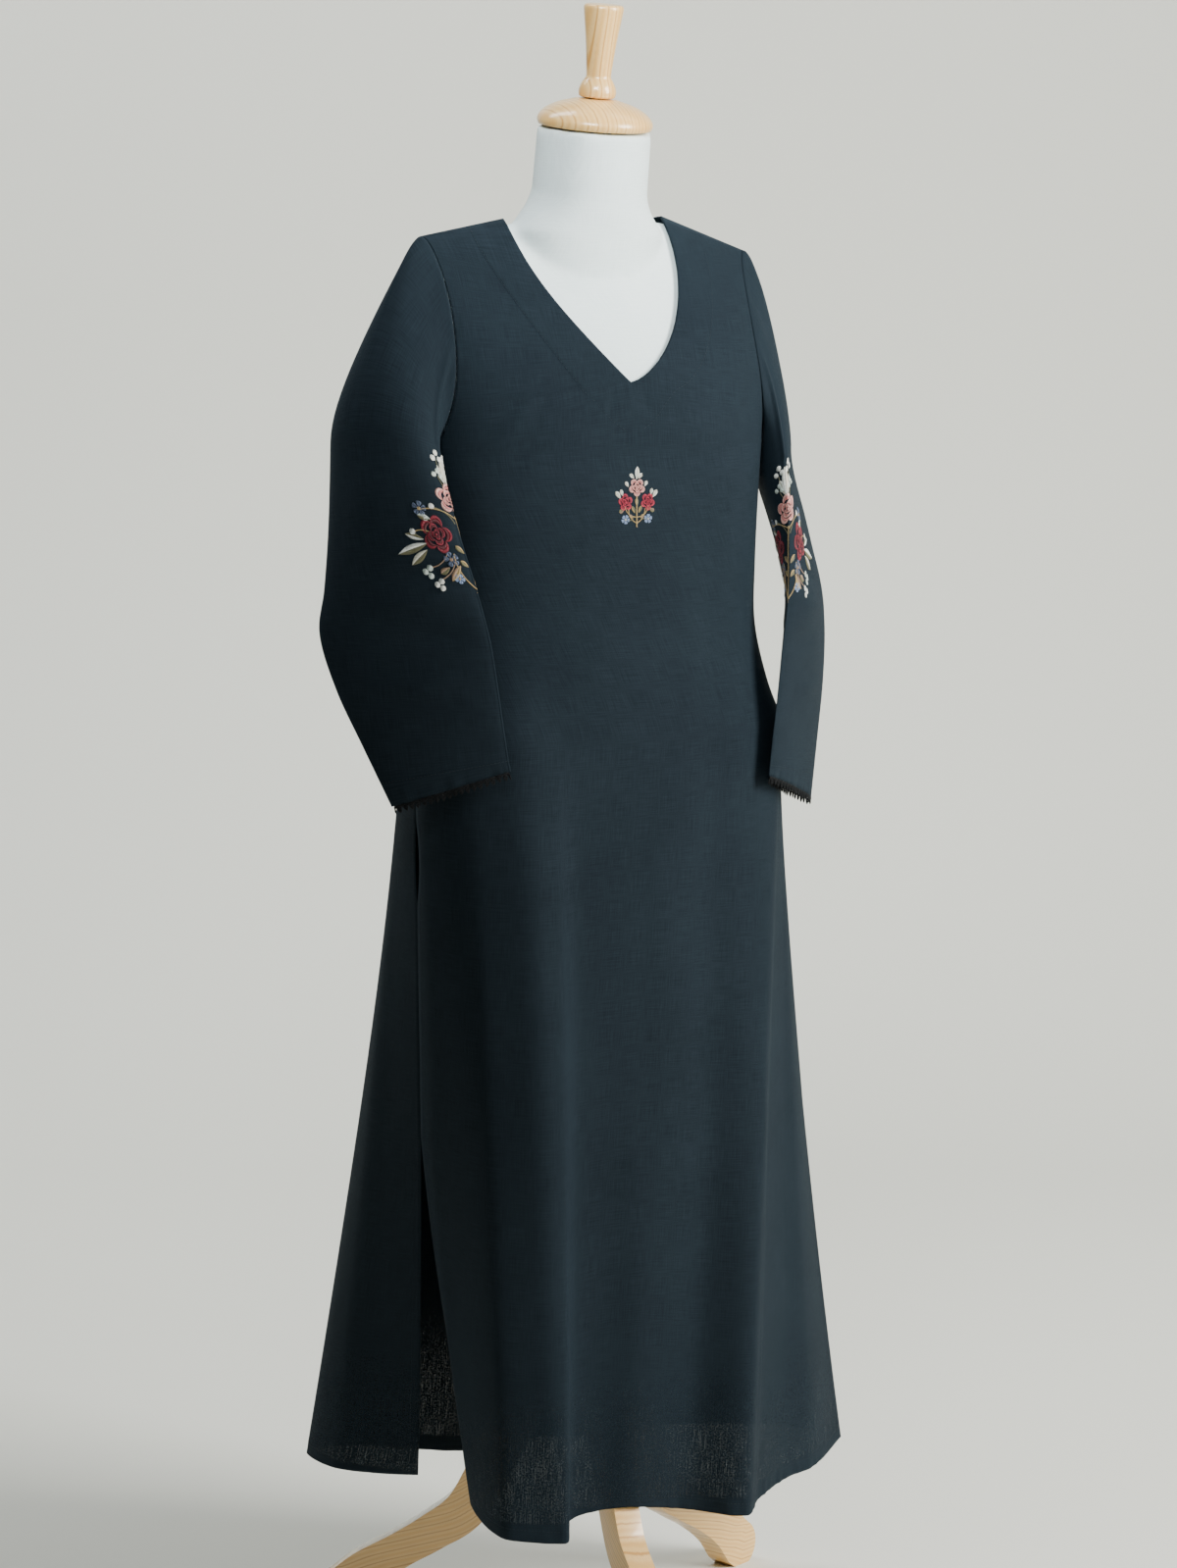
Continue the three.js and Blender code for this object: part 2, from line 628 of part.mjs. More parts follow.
// Flat bag behind the mouth in the wearer's right seam, lying along the inside of the front
function pocketBag() {
  const { start, run, behind, halfThick, steps, sides, mouth, end } = POCKET;
  const bagRing = (k, shrink) => {
    const t = k / steps;
    const share = start + run * t;
    const halfHeight = lerp(mouth.half, end.half, smooth(t)) - shrink;
    const middle = lerp(mouth.z, end.z, smooth(t));
    const ring = [];
    for (let m = 0; m < sides; m += 1) {
      const angle = (m / sides) * Math.PI * 2;
      const z = middle + halfHeight * Math.cos(angle);
      const down = (HIP - z) / (HIP - HEM);
      const point = skirtPoint(panels.front, share, down);
      const beside = skirtPoint(panels.front, share + 0.02, down).sub(point);
      const inward = vector(-beside.y, beside.x, 0).normalize();
      ring.push(point.addScaledVector(inward, behind - (halfThick - shrink) * Math.sin(angle)));
    }
    return ring;
  };
  const outer = [];
  const inner = [];
  for (let k = 0; k <= steps; k += 1) outer.push(bagRing(k, 0));
  for (let k = 0; k <= steps; k += 1) inner.push(bagRing(Math.min(k, steps - 0.08), POCKET_WALL));
  const points = [...outer, ...inner].flat();
  const faces = [];
  const quad = (a, b, c, d) => faces.push([c, b, a], [d, c, a]);
  const shell = outer.length * sides;
  for (let m = 0; m < sides; m += 1) {
    const n = (m + 1) % sides;
    for (let k = 0; k < steps; k += 1) {
      quad(k * sides + m, (k + 1) * sides + m, (k + 1) * sides + n, k * sides + n);
      quad(shell + k * sides + n, shell + (k + 1) * sides + n, shell + (k + 1) * sides + m,
        shell + k * sides + m);
    }
    quad(n, shell + n, shell + m, m);
  }
  for (const [first, turned] of [[steps * sides, false], [shell + steps * sides, true]]) {
    const centre = points.length;
    points.push(points[first].clone().add(points[first + sides / 2]).multiplyScalar(0.5));
    for (let m = 0; m < sides; m += 1) {
      const pair = [first + m, first + ((m + 1) % sides)];
      if (!turned) pair.reverse();
      faces.push([pair[0], centre, pair[1]]);
    }
  }
  return solid(points, faces);
}

// Closed body through rings of equal length, fanned shut below and above
function loft(list, closeTop = true) {
  const sides = list[0].length;
  const points = list.flat();
  const faces = [];
  for (let k = 0; k + 1 < list.length; k += 1) {
    for (let m = 0; m < sides; m += 1) {
      const n = (m + 1) % sides;
      const [a, b, c, d] = [k * sides + m, k * sides + n, (k + 1) * sides + n, (k + 1) * sides + m];
      faces.push([a, b, c], [a, c, d]);
    }
  }
  const centre = (ring) => ring.reduce((sum, point) => sum.add(point), vector(0, 0, 0))
    .divideScalar(sides);
  points.push(centre(list[0]));
  if (closeTop) points.push(centre(list.at(-1)));
  for (let m = 0; m < sides; m += 1) {
    const n = (m + 1) % sides;
    const top = (list.length - 1) * sides;
    faces.push([m, list.length * sides, n]);
    if (closeTop) faces.push([top + m, top + n, points.length - 1]);
  }
  return solid(points, faces);
}

// Bust from the base to the shoulder ridge, where front and back meet
function bust() {
  const around = (place) => {
    const ring = [];
    for (let m = 0; m < TORSO_SIDES; m += 1) {
      const turn = m / TORSO_SIDES;
      const panel = turn < 0.5 ? panels.front : panels.back;
      ring.push(place(panel, turn < 0.5 ? turn * 2 : 2 - turn * 2));
    }
    return ring;
  };
  const list = TORSO_LEVELS.map((z) => around((panel, u) => ringPoint(torsoRings, panel, u, z)));
  const { by, from, over } = TORSO_LOWER_RIGHT;
  for (const up of TORSO_UPS) {
    list.push(around((panel, u) => {
      const base = ringPoint(torsoRings, panel, u, UNDERARM);
      const x = base.x * lerp(1, TORSO_SHOULDER / torsoRings.at(-1).half, smooth(up));
      const top = shoulderHeight(panels.front, x) - TORSO_UNDER - by * smooth((-x - from) / over);
      return vector(x, up === 1 ? 0 : base.y * yokeDepth(panel, x, up), lerp(UNDERARM, top, up));
    }));
  }
  return loft(list, false);
}

// Frame of the neck, whose axis leans forward and a little to the wearer's left
function neckFrame(up) {
  const frame = new THREE.Matrix4().makeRotationFromEuler(new THREE.Euler(NECK_TILT, NECK_ROLL, 0));
  frame.setPosition(0, 0, NECK_FOOT);
  return frame.multiply(new THREE.Matrix4().makeTranslation(0, 0, up));
}

function neckColumn() {
  const list = neckRings.map(({ up, rx, ry }) => {
    const ring = [];
    for (let m = 0; m < TORSO_SIDES; m += 1) {
      const angle = (m / TORSO_SIDES) * Math.PI * 2;
      ring.push(vector(rx * Math.cos(angle), ry * Math.sin(angle), 0).applyMatrix4(neckFrame(up)));
    }
    return ring;
  });
  return loft(list);
}

function toManifold(geometry) {
  const merged = mergeVertices(geometry, 1e-3);
  const position = merged.getAttribute('position');
  const index = merged.getIndex();
  return new wasm.Manifold(new wasm.Mesh({
    numProp: 3,
    vertProperties: new Float32Array(position.array),
    triVerts: new Uint32Array(index.array),
  }));
}

function fromManifold(body) {
  const mesh = body.getMesh();
  const geometry = new THREE.BufferGeometry();
  geometry.setAttribute('position', new THREE.Float32BufferAttribute(mesh.vertProperties, 3));
  geometry.setIndex(Array.from(mesh.triVerts));
  return geometry;
}

function torso() {
  return fromManifold(toManifold(bust()).add(toManifold(neckColumn())));
}

// Turned piece from a profile of [radius, height] pairs, standing on z = 0
function turned(profile) {
  const points = profile.map(([radius, height]) => new THREE.Vector2(radius, height));
  return new THREE.LatheGeometry(points, TURNED_SIDES).rotateX(Math.PI / 2);
}

function neckCap() {
  const r = CAP_RADIUS;
  const h = CAP_HEIGHT;
  return turned([[0, 0], [r - 3, 0], [r, 5], [r - 0.5, 10], [r - 6, 17], [r - 18, 24], [r - 34, 28.5],
    [18, h], [0, h]]).applyMatrix4(neckFrame(NECK_TOP + SEAM));
}

function finial() {
  const { radius, height } = BALL;
  const neck = GRIP.foot;
  const top = height + GRIP.height;
  return turned([[0, 0], [radius - 1.5, 0], [radius, 5], [radius - 0.8, 11], [radius - 4, 17],
    [neck, height], [lerp(neck, GRIP.top, 0.45), height + GRIP.height * 0.5], [GRIP.top, top - 3],
    [GRIP.top - 2, top], [0, top]]).applyMatrix4(neckFrame(NECK_TOP + CAP_HEIGHT + 2 * SEAM));
}

// Outline of a leg board round its centre line, cut flat where it stands
function legOutline() {
  const upper = [];
  const lower = [];
  const reach = (k) => lerp(leg[0].r, leg.at(-1).r, k / LEG_STEPS);
  for (let k = 0; k <= LEG_STEPS; k += 1) {
    const r = reach(k);
    const slope = along(leg, 'r', Math.min(r + 1, leg.at(-1).r), 'z') -
      along(leg, 'r', Math.max(r - 1, leg[0].r), 'z');
    const tangent = new THREE.Vector2(2, slope).normalize();
    const deep = along(leg, 'r', r, 'deep');
    const middle = new THREE.Vector2(r, along(leg, 'r', r, 'z'));
    upper.push(middle.clone().add(new THREE.Vector2(-tangent.y, tangent.x).multiplyScalar(deep)));
    lower.push(middle.clone().add(new THREE.Vector2(tangent.y, -tangent.x).multiplyScalar(deep)));
  }
  const foot = leg.at(-1);
  const start = upper.at(-1).clone().sub(new THREE.Vector2(foot.r, foot.z)).angle();
  const round = [];
  for (let k = 1; k < FOOT_STEPS; k += 1) {
    const angle = start - (k / FOOT_STEPS) * Math.PI;
    round.push(new THREE.Vector2(foot.r + foot.deep * Math.cos(angle),
      foot.z + foot.deep * Math.sin(angle)));
  }
  const outline = [...upper, ...round, ...lower.toReversed()];
  outline.forEach((point) => {
    point.x = Math.max(point.x, HUB.radius + SEAM);
    point.y = Math.max(point.y, 0);
  });
  return outline;
}

function tripodLeg(azimuth) {
  const shape = new THREE.Shape(legOutline());
  const board = new THREE.ExtrudeGeometry(shape, { depth: LEG_BOARD, bevelEnabled: false });
  board.translate(0, 0, -LEG_BOARD / 2).rotateX(Math.PI / 2);
  return board.rotateZ(THREE.MathUtils.degToRad(azimuth));
}

function hub() {
  const { radius, bottom, top } = HUB;
  return turned([[0, bottom], [radius - 3, bottom], [radius, bottom + 3], [radius, top - 8],
    [radius - 8, top], [0, top]]);
}

function pole() {
  const bottom = HUB.top + SEAM;
  const top = torsoRings[0].z - BASE.height - 2 * SEAM;
  return turned([[0, bottom], [POLE_RADIUS, bottom], [POLE_RADIUS, top], [0, top]]);
}

function basePlate() {
  const top = torsoRings[0].z - SEAM;
  const bottom = top - BASE.height;
  return turned([[0, bottom], [BASE.radius - 2, bottom], [BASE.radius, bottom + 2],
    [BASE.radius, top], [0, top]]);
}

const group = new THREE.Group();

function add(name, geometry, color, roughness) {
  const material = new THREE.MeshStandardMaterial({ color, roughness, metalness: 0 });
  const mesh = new THREE.Mesh(geometry, material);
  mesh.name = name;
  group.add(mesh);
}

add('front_panel', frontPanel(), CLOTH, 0.95);
add('back_panel', backPanel(), CLOTH, 0.95);
add('right_sleeve', sleeveTube('right'), CLOTH, 0.95);
add('left_sleeve', sleeveTube('left'), CLOTH, 0.95);
add('right_cuff_lace', cuffLace('right'), CLOTH, 0.9);
add('left_cuff_lace', cuffLace('left'), CLOTH, 0.9);
add('neck_facing', neckFacing(), CLOTH, 0.95);
add('pocket_bag', pocketBag(), CLOTH, 0.95);
add('torso_form', torso(), LINEN, 0.9);
add('neck_cap', neckCap(), WOOD, 0.35);
add('finial', finial(), WOOD, 0.35);
add('base_plate', basePlate(), WOOD, 0.5);
add('pole', pole(), WOOD, 0.5);
add('hub', hub(), WOOD, 0.45);
for (const [name, azimuth] of Object.entries(LEG_AZIMUTHS)) add(name, tripodLeg(azimuth), WOOD, 0.35);

// The origin goes under the middle of everything, on the floor
const box = new THREE.Box3().setFromObject(group);
const middle = box.getCenter(vector(0, 0, 0));
group.position.set(-middle.x, -middle.y, -box.min.z);

export default group;
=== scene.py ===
import math
import random

import bmesh
import bpy
import numpy as np
from mathutils import Matrix, Vector


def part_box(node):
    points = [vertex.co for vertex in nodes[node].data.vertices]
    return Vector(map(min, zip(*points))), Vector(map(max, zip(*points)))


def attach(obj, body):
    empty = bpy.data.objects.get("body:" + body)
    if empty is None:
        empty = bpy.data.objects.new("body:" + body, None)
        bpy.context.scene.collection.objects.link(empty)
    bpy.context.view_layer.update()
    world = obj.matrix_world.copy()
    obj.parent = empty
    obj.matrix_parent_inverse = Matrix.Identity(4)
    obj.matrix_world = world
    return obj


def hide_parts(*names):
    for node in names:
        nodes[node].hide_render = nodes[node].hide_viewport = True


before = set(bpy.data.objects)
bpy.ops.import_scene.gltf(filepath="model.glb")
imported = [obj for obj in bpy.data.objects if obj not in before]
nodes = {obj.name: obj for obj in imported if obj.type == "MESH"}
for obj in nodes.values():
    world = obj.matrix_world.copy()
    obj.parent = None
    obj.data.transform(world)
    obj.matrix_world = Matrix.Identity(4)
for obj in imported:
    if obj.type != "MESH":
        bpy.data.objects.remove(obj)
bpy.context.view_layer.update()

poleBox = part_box("pole")
poleAxis = np.array([(poleBox[0][0] + poleBox[1][0]) / 2, (poleBox[0][1] + poleBox[1][1]) / 2, 0.0])
print("frame loaded, pole axis at", poleAxis.round(4))

# The garment's surface, in millimetres from the pole's axis, as in the part's source

garment = {
    "underarm": 1235.0, "hip": 950.0, "hem": 150.0, "slitTop": 530.0,
    "pocketTop": 868.0, "pocketBottom": 776.0, "pocketGape": {-1: 6.0, 1: 3.0},
    "neckHalf": 88.0, "neckTop": 1460.0, "neckFront": 1302.0, "neckBack": 1440.0,
    "shoulder": {"right": (178.0, 1444.0), "left": (183.0, 1424.0)},
    "neckBend": {"right": 1.15, "left": 0.78}, "frontDip": 1.2, "backDip": 2.2,
    "squareness": 2.35, "ridge": 0.8, "backRound": 0.35, "armholeInset": {-1: 18.0, 1: 12.0},
    "underarmHalf": 190.0, "yokeHalf": 198.0, "yokeRows": 10, "pointRow": 3,
    "flare": 1.04, "slitSpread": 0.16, "seam": 0.3, "clothThick": 0.8, "hemTurn": 14.0, "facingStep": 0.7,
}

body = {
    "z": [950, 990, 1050, 1110, 1187, 1235],
    "half": [197, 186, 179, 180, 185, 190],
    "left": [12, 7, 0, 0, 0, 0],
    "front": [115, 114, 114, 116, 117, 113],
    "back": [107, 105, 103, 104, 105, 105],
    "seam": [-20, -16, -11, -6, -2, 0],
}
frontHem = {
    "u": [0, .06, .2, .28, .37, .43, .55, .68, .84, .89, .935, .97, 1],
    "x": [-125, -143, -153, -121, -96, -73, -14, 52, 103, 135, 194, 243, 311],
    "y": [-10, -28, -119, -142, -153, -118, -130, -132, -164, -130, -84, -59, 2],
    "z": [165, 157, 150, 147, 147, 157, 164, 153, 148, 150, 152, 152, 158],
}
backHem = {
    "u": [0, .07, .14, .26, .33, .4, .47, .54, .62, .7, .78, .88, .95, 1],
    "x": [-160, -190, -219, -214, -160, -110, -60, -15, 40, 100, 165, 230, 285, 300],
    "y": [62, 105, 150, 226, 228, 200, 168, 160, 172, 150, 150, 120, 72, 38],
    "z": [165, 160, 158, 155, 153, 150, 150, 150, 150, 150, 151, 153, 155, 158],
}
seamFoot = {"right": (-168, 25, 165), "left": (307, 18, 158)}
sleeveTable = {
    "down": [0, .13, .3, .43, .57, .72, .87, 1],
    "fx": [193, 189, 178, 168, 157, 150, 144, 140],
    "fy": [-70, -80, -92, -101, -109, -113, -115, -117],
    "fz": [1240, 1200, 1146, 1104, 1052, 1000, 955, 926],
    "bx": [251, 257, 266, 273, 280, 270, 252, 232],
    "by": [47, 42, 33, 27, 23, 6, -17, -41],
    "bz": [1236, 1194, 1138, 1096, 1054, 1000, 945, 887],
    "outer": [34, 29, 23, 18, 12, 11, 9, 7],
    "inner": [26, 22, 17, 13, 9, 8, 7, 6],
    "tilt": [16, 10, 4, 0, 0, 0, 0, 0],
}
sleeveHang = {
    "right": {"drop": 0, "out": 0, "behind": 0, "slim": 0},
    "left": {"drop": 26, "out": 16, "behind": 8, "slim": 24},
}
sleeveShape = {"sharp": 1.35, "slimInside": 0.05}
facingTable = {"row": [0, 1, 2, 3, 10], "reach": [0, 5, 26, 52, 38]}

# The sleeve's cap; "swell" goes from the armpit over front, top and back, and a bump is (turn, width, height)
capLook = {
    "swell": [1, 0.45, 0.25, 0.35, 1], "seam": (0.6, 2.0), "out": (0.25, 1), "fall": (-1, -0.2),
    "bumps": [(1.75, 0.16, 3.5), (1.45, 0.14, -2.5)], "crease": (1, 0.05, 2.0),
}


def smooth(t):
    t = np.clip(t, 0, 1)
    return t * t * (3 - 2 * t)


def mix(a, b, t):
    return a + (b - a) * t


def along(table, key, at, name):
    keys, values, at = np.array(table[key], float), np.array(table[name], float), np.asarray(at, float)
    last = len(keys) - 1
    i = np.clip(np.searchsorted(keys, at, "left") - 1, 0, last - 1)
    before, after = np.maximum(np.arange(last + 1) - 1, 0), np.minimum(np.arange(last + 1) + 1, last)
    slope = (values[after] - values[before]) / (keys[after] - keys[before])
    span, rise = keys[i + 1] - keys[i], values[i + 1] - values[i]
    t = np.clip((at - keys[i]) / span, 0, 1)
    bend = (slope[i] * (1 - t) - slope[i + 1] * t) * span + rise * (2 * t - 1)
    return values[i] + t * rise + t * (1 - t) * bend


for hem in (frontHem, backHem):
    steps = np.hypot(np.diff(hem["x"]), np.diff(hem["y"]))
    hem["share"] = np.concatenate([[0], np.cumsum(steps)]) / steps.sum()

front = {"face": -1, "hem": frontHem, "columns": 32, "topRise": 12}
back = {"face": 1, "hem": backHem, "columns": 28, "topRise": 40}


# Soft folds, each given as a line of (across, up) points, its half width, and its height at each point
frontFolds = [
    ([(-96, 150), (-93, 269), (-91, 417), (-90, 566), (-88, 715), (-87, 859), (-86, 947)], 5,
     [2.2, 2.2, 1.9, 1.6, 1.2, 0.8, 0]),
    ([(-118, 150), (-116, 330), (-114, 560), (-114, 760), (-120, 930), (-130, 1060)], 32,
     [3, 9, 13, 12, 8, 0]),
    ([(128, 150), (142, 283), (152, 435), (152, 538), (150, 640)], 5, [1.8, 1.8, 1.6, 1.0, 0]),
    ([(54, 150), (66, 290), (79, 430), (87, 597), (93, 795), (95, 995), (92, 1130), (90, 1200)], 26,
     [-2, -4, -5, -5, -4.4, -3.6, -2, 0]),
    ([(-34, 150), (-30, 330), (-26, 560), (-24, 700)], 22, [-3, -2.4, -1.4, 0]),
    ([(12, 420), (8, 560), (10, 760), (4, 900)], 13, [0, -0.9, -0.8, 0]),
    ([(40, 1216), (86, 1222), (150, 1236)], 5, [0, -1.2, -0.4]),
    ([(52, 1204), (104, 1208), (160, 1224)], 6, [0, 0.9, 0]),
    ([(-160, 1222), (-120, 1262), (-92, 1322)], 9, [0, 1.6, 0]),
    ([(-166, 1196), (-128, 1214), (-96, 1256)], 8, [0, -1.3, 0]),
    ([(150, 1296), (118, 1268), (84, 1256)], 8, [0, 1.2, 0]),
    ([(-20, 1297), (-22, 1280), (-27, 1266)], 4, [-0.3, -1.3, 0]),
    ([(13, 1297), (15, 1280), (20, 1266)], 4, [-0.3, -1.2, 0]),
    ([(-4, 1299), (-3, 1280), (-2, 1258)], 2.2, [0.9, 0.8, 0]),
    ([(-178, 380), (-160, 452), (-120, 500)], 8, [0, 1.4, 0]),
]
backFolds = [
    ([(-150, 150), (-146, 300), (-128, 520), (-112, 760), (-104, 960)], 10, [2.5, 3, 2.4, 1.4, 0]),
    ([(-62, 150), (-58, 380), (-50, 620), (-48, 900)], 26, [-3, -5, -4, 0]),
    ([(36, 150), (30, 340), (26, 600), (22, 820)], 9, [2.6, 2.4, 1.6, 0]),
    ([(104, 150), (98, 360), (92, 640), (86, 980)], 24, [-3.5, -5, -4, 0]),
    ([(176, 150), (160, 330), (146, 560)], 9, [2.2, 1.8, 0]),
    ([(-120, 1296), (-70, 1330), (0, 1336), (66, 1326), (112, 1290)], 12, [0, -1.6, -2.2, -1.6, 0]),
    ([(-142, 1190), (-90, 1226), (-40, 1240)], 9, [0, 1.5, 0]),
    ([(146, 1180), (96, 1216), (50, 1232)], 9, [0, 1.4, 0]),
    ([(-96, 1010), (-40, 1034), (30, 1030), (92, 1004)], 14, [0, -2, -1.8, 0]),
]
hemRipple = {
    "high": 11, "fade": 8, "skew": 0.4, "tall": 0.5, "cuffTall": 0.3, "cuffFrom": 0.955, "cuffFade": 0.03,
    "waves": [(0.31, 0.4, 1.0), (0.47, 2.1, 0.7), (0.83, 1.3, 0.45), (0.13, 0.2, 0.8)],
}
sideCalm = {"clear": 25, "blend": 40}  # folds fade out this near to the side seams


def foldHeight(folds, x, z):
    total = np.zeros(np.broadcast(x, z).shape)
    for line, width, heights in folds:
        best, height = np.full(total.shape, 1e9), np.zeros(total.shape)
        for (x0, z0), (x1, z1), h0, h1 in zip(line, line[1:], heights, heights[1:]):
            square = (x1 - x0) ** 2 + (z1 - z0) ** 2
            t = np.clip(((x - x0) * (x1 - x0) + (z - z0) * (z1 - z0)) / square, 0, 1)
            far = np.hypot(x - mix(x0, x1, t), z - mix(z0, z1, t))
            height = np.where(far < best, mix(h0, h1, smooth(t)), height)
            best = np.minimum(best, far)
        total = total + height * np.exp(-(best / width) ** 2)
    return total


def stitchRipple(place):
    return sum(size * np.sin(rate * place + start) for rate, start, size in hemRipple["waves"])


# Lifts a panel's points off its plain form by the folds and, at the hem, by the puckers of its stitching
def lay(panel, points):
    x, z = points[..., 0], points[..., 2]
    height = foldHeight(frontFolds if panel["face"] < 0 else backFolds, x, z)
    waves = stitchRipple(x + hemRipple["skew"] * points[..., 1])
    above = smooth((z - garment["hem"] - hemRipple["high"]) / hemRipple["fade"])
    height = height + hemRipple["tall"] * waves * (1 - above)
    facing = smooth((np.abs(points[..., 1]) - sideCalm["clear"]) / sideCalm["blend"])
    lifted = points.copy()
    lifted[..., 1] += panel["face"] * height * facing
    return lifted


def ringPoint(table, face, u, z):
    u, z = np.broadcast_arrays(np.asarray(u, float), np.asarray(z, float))
    angle = (u - 0.5) * np.pi
    half = along(table, "z", z, "half") + np.where(angle > 0, along(table, "z", z, "left"), 0)
    reach = along(table, "z", z, "front" if face < 0 else "back")
    seam = along(table, "z", z, "seam")
    side = np.sign(angle) * np.abs(np.sin(angle)) ** (2 / garment["squareness"])
    depth = np.maximum(np.cos(angle), 0) ** (2 / garment["squareness"])
    return np.stack([half * side, seam + (face * reach - seam) * depth, z], -1)


def shoulderHeight(panel, x):
    reach = np.abs(x)
    tipX = np.where(x < 0, garment["shoulder"]["right"][0], garment["shoulder"]["left"][0])
    tipZ = np.where(x < 0, garment["shoulder"]["right"][1], garment["shoulder"]["left"][1])
    outer = mix(garment["neckTop"], tipZ, (reach - garment["neckHalf"]) / (tipX - garment["neckHalf"]))
    inner = garment["neckTop"] + panel["topRise"] * (1 - (reach / garment["neckHalf"]) ** 2) ** 2
    return np.where(reach >= garment["neckHalf"], outer, inner)


# How much rounder the back is made in its middle, below the neck
def backRounding(panel, x):
    return 0 if panel["face"] < 0 else garment["backRound"] * (1 - smooth((np.abs(x) - 60) / 60))


def yokePoint(panel, x, z):
    top = shoulderHeight(panel, x)
    up = np.clip((z - garment["underarm"]) / (top - garment["underarm"]), 0, 1)
    half = mix(garment["underarmHalf"], garment["yokeHalf"], smooth(up * 2.5))
    reach = along(body, "z", garment["underarm"], "front" if panel["face"] < 0 else "back")
    across = (1 - np.minimum(np.abs(x) / half, 1) ** garment["squareness"]) ** (1 / garment["squareness"])
    depth = np.maximum(np.cos(up * np.pi / 2), 0) ** (garment["ridge"] - backRounding(panel, x))
    return np.stack([x, panel["face"] * reach * across * depth, np.minimum(z, top)], -1)


def armholeEdge(panel, side, turn):
    tipX, tipZ = garment["shoulder"][side]
    up = (1 + np.sin(turn * np.pi / 2)) / 2
    inset = garment["armholeInset"][panel["face"]] * np.cos(turn * np.pi / 2)
    reach = mix(garment["underarmHalf"], tipX, up) - inset
    return (-reach if side == "right" else reach), mix(garment["underarm"], tipZ, up), up


def slitOpening(down):
    top = (garment["hip"] - garment["slitTop"]) / (garment["hip"] - garment["hem"])
    return np.clip((down - top) / (1 - top), 0, 1)


def skirtPoint(panel, share, down):
    share, down = np.broadcast_arrays(np.asarray(share, float), np.asarray(down, float))
    hem = panel["hem"]
    hip = ringPoint(body, panel["face"], along(hem, "share", share, "u"), garment["hip"])
    foot = np.stack([along(hem, "share", share, name) for name in "xyz"], -1)
    closed = 1 - slitOpening(down)
    for side, corner, reach in (("right", 0, share), ("left", -1, 1 - share)):
        pull = closed * np.maximum(1 - reach / garment["slitSpread"], 0) ** 2
        at = np.array([hem[name][corner] for name in "xyz"], float)
        foot = foot + (np.array(seamFoot[side]) - at) * pull[..., None]
    level = mix(hip[..., :2], foot[..., :2], (down ** garment["flare"])[..., None])
    return np.concatenate([level, mix(hip[..., 2:], foot[..., 2:], down[..., None])], -1)


def panelPoint(panel, share, level):
    share, level = np.broadcast_arrays(np.asarray(share, float), np.asarray(level, float))
    down = np.clip((garment["hip"] - level) / (garment["hip"] - garment["hem"]), 0, 1)
    skirt = skirtPoint(panel, share, down)
    place = along(panel["hem"], "share", share, "u")
    u = mix(share, place, smooth((garment["underarm"] - level) / (garment["underarm"] - garment["hip"])))
    bodice = ringPoint(body, panel["face"], u, np.maximum(level, garment["hip"]))
    point = np.where((level < garment["hip"])[..., None], skirt, bodice)
    low, high = garment["pocketBottom"], garment["pocketTop"]
    mouth = np.clip((level - low) / (high - low), 0, 1)
    nearRight = np.maximum(1 - share * panel["columns"], 0)
    nearLeft = np.maximum(1 - (1 - share) * panel["columns"], 0)
    gape = garment["pocketGape"][panel["face"]] * np.sin(np.pi * mouth)
    shift = garment["seam"] / 2 * (nearRight + nearLeft) + gape * nearRight
    point[..., 1] += panel["face"] * shift
    return lay(panel, point)


# How far the neck facing reaches behind the front at each row of the yoke
def facingReach(row):
    return np.interp(row, facingTable["row"], facingTable["reach"])


def frontYoke(side, row, out):
    row, out = np.broadcast_arrays(np.asarray(row, float), np.asarray(out, float))
    sign = -1 if side == "right" else 1
    armX, armZ, _ = armholeEdge(front, side, -1 + 2 * row / garment["yokeRows"])
    t = np.clip((row - garment["pointRow"]) / (garment["yokeRows"] - garment["pointRow"]), 0, 1)
    neckX = sign * garment["neckHalf"] * np.sin(np.pi / 2 * t ** garment["neckBend"][side])
    belowNeck = mix(garment["underarm"], garment["neckFront"], row / garment["pointRow"])
    neckZ = mix(garment["neckFront"], garment["neckTop"], t ** garment["frontDip"])
    neckZ = np.where(row < garment["pointRow"], belowNeck, neckZ)
    even = np.sin(out * np.pi / 2) ** (2 / garment["squareness"])
    spread = mix(even, out, smooth(row / garment["pointRow"]))
    point = yokePoint(front, mix(neckX, armX, spread), mix(neckZ, armZ, spread))
    edge = (row >= garment["yokeRows"]) | ((row <= 0) & (out >= 1))
    point[..., 1] = np.where(edge, -garment["seam"] / 2, point[..., 1])
    band = facingReach(row) - spread * np.abs(armX - neckX)
    raised = garment["facingStep"] * smooth(band / 3 + 0.5) * (1 - smooth(row - garment["yokeRows"] + 1))
    point[..., 1] -= raised * smooth(row)
    return lay(front, point)


def backYoke(side, row, out):
    row, out = np.broadcast_arrays(np.asarray(row, float), np.asarray(out, float))
    sign = -1 if side == "right" else 1
    armX, _, armUp = armholeEdge(back, side, -1 + 2 * row / garment["yokeRows"])
    even = np.sin(out * np.pi / 2) ** (2 / garment["squareness"])
    spread = mix(even, out, smooth(row / garment["pointRow"]))
    topX = garment["shoulder"][side][0] * spread
    inside = np.minimum(topX / garment["neckHalf"], 1)
    neckZ = mix(garment["neckBack"], garment["neckTop"], inside ** garment["backDip"])
    topZ = np.where(topX < garment["neckHalf"], neckZ, shoulderHeight(back, sign * topX))
    point = yokePoint(back, armX * spread, mix(garment["underarm"], topZ, armUp))
    edge = ((row >= garment["yokeRows"]) & (topX >= garment["neckHalf"])) | ((row <= 0) & (out >= 1))
    point[..., 1] = np.where(edge, garment["seam"] / 2, point[..., 1])
    return lay(back, point)


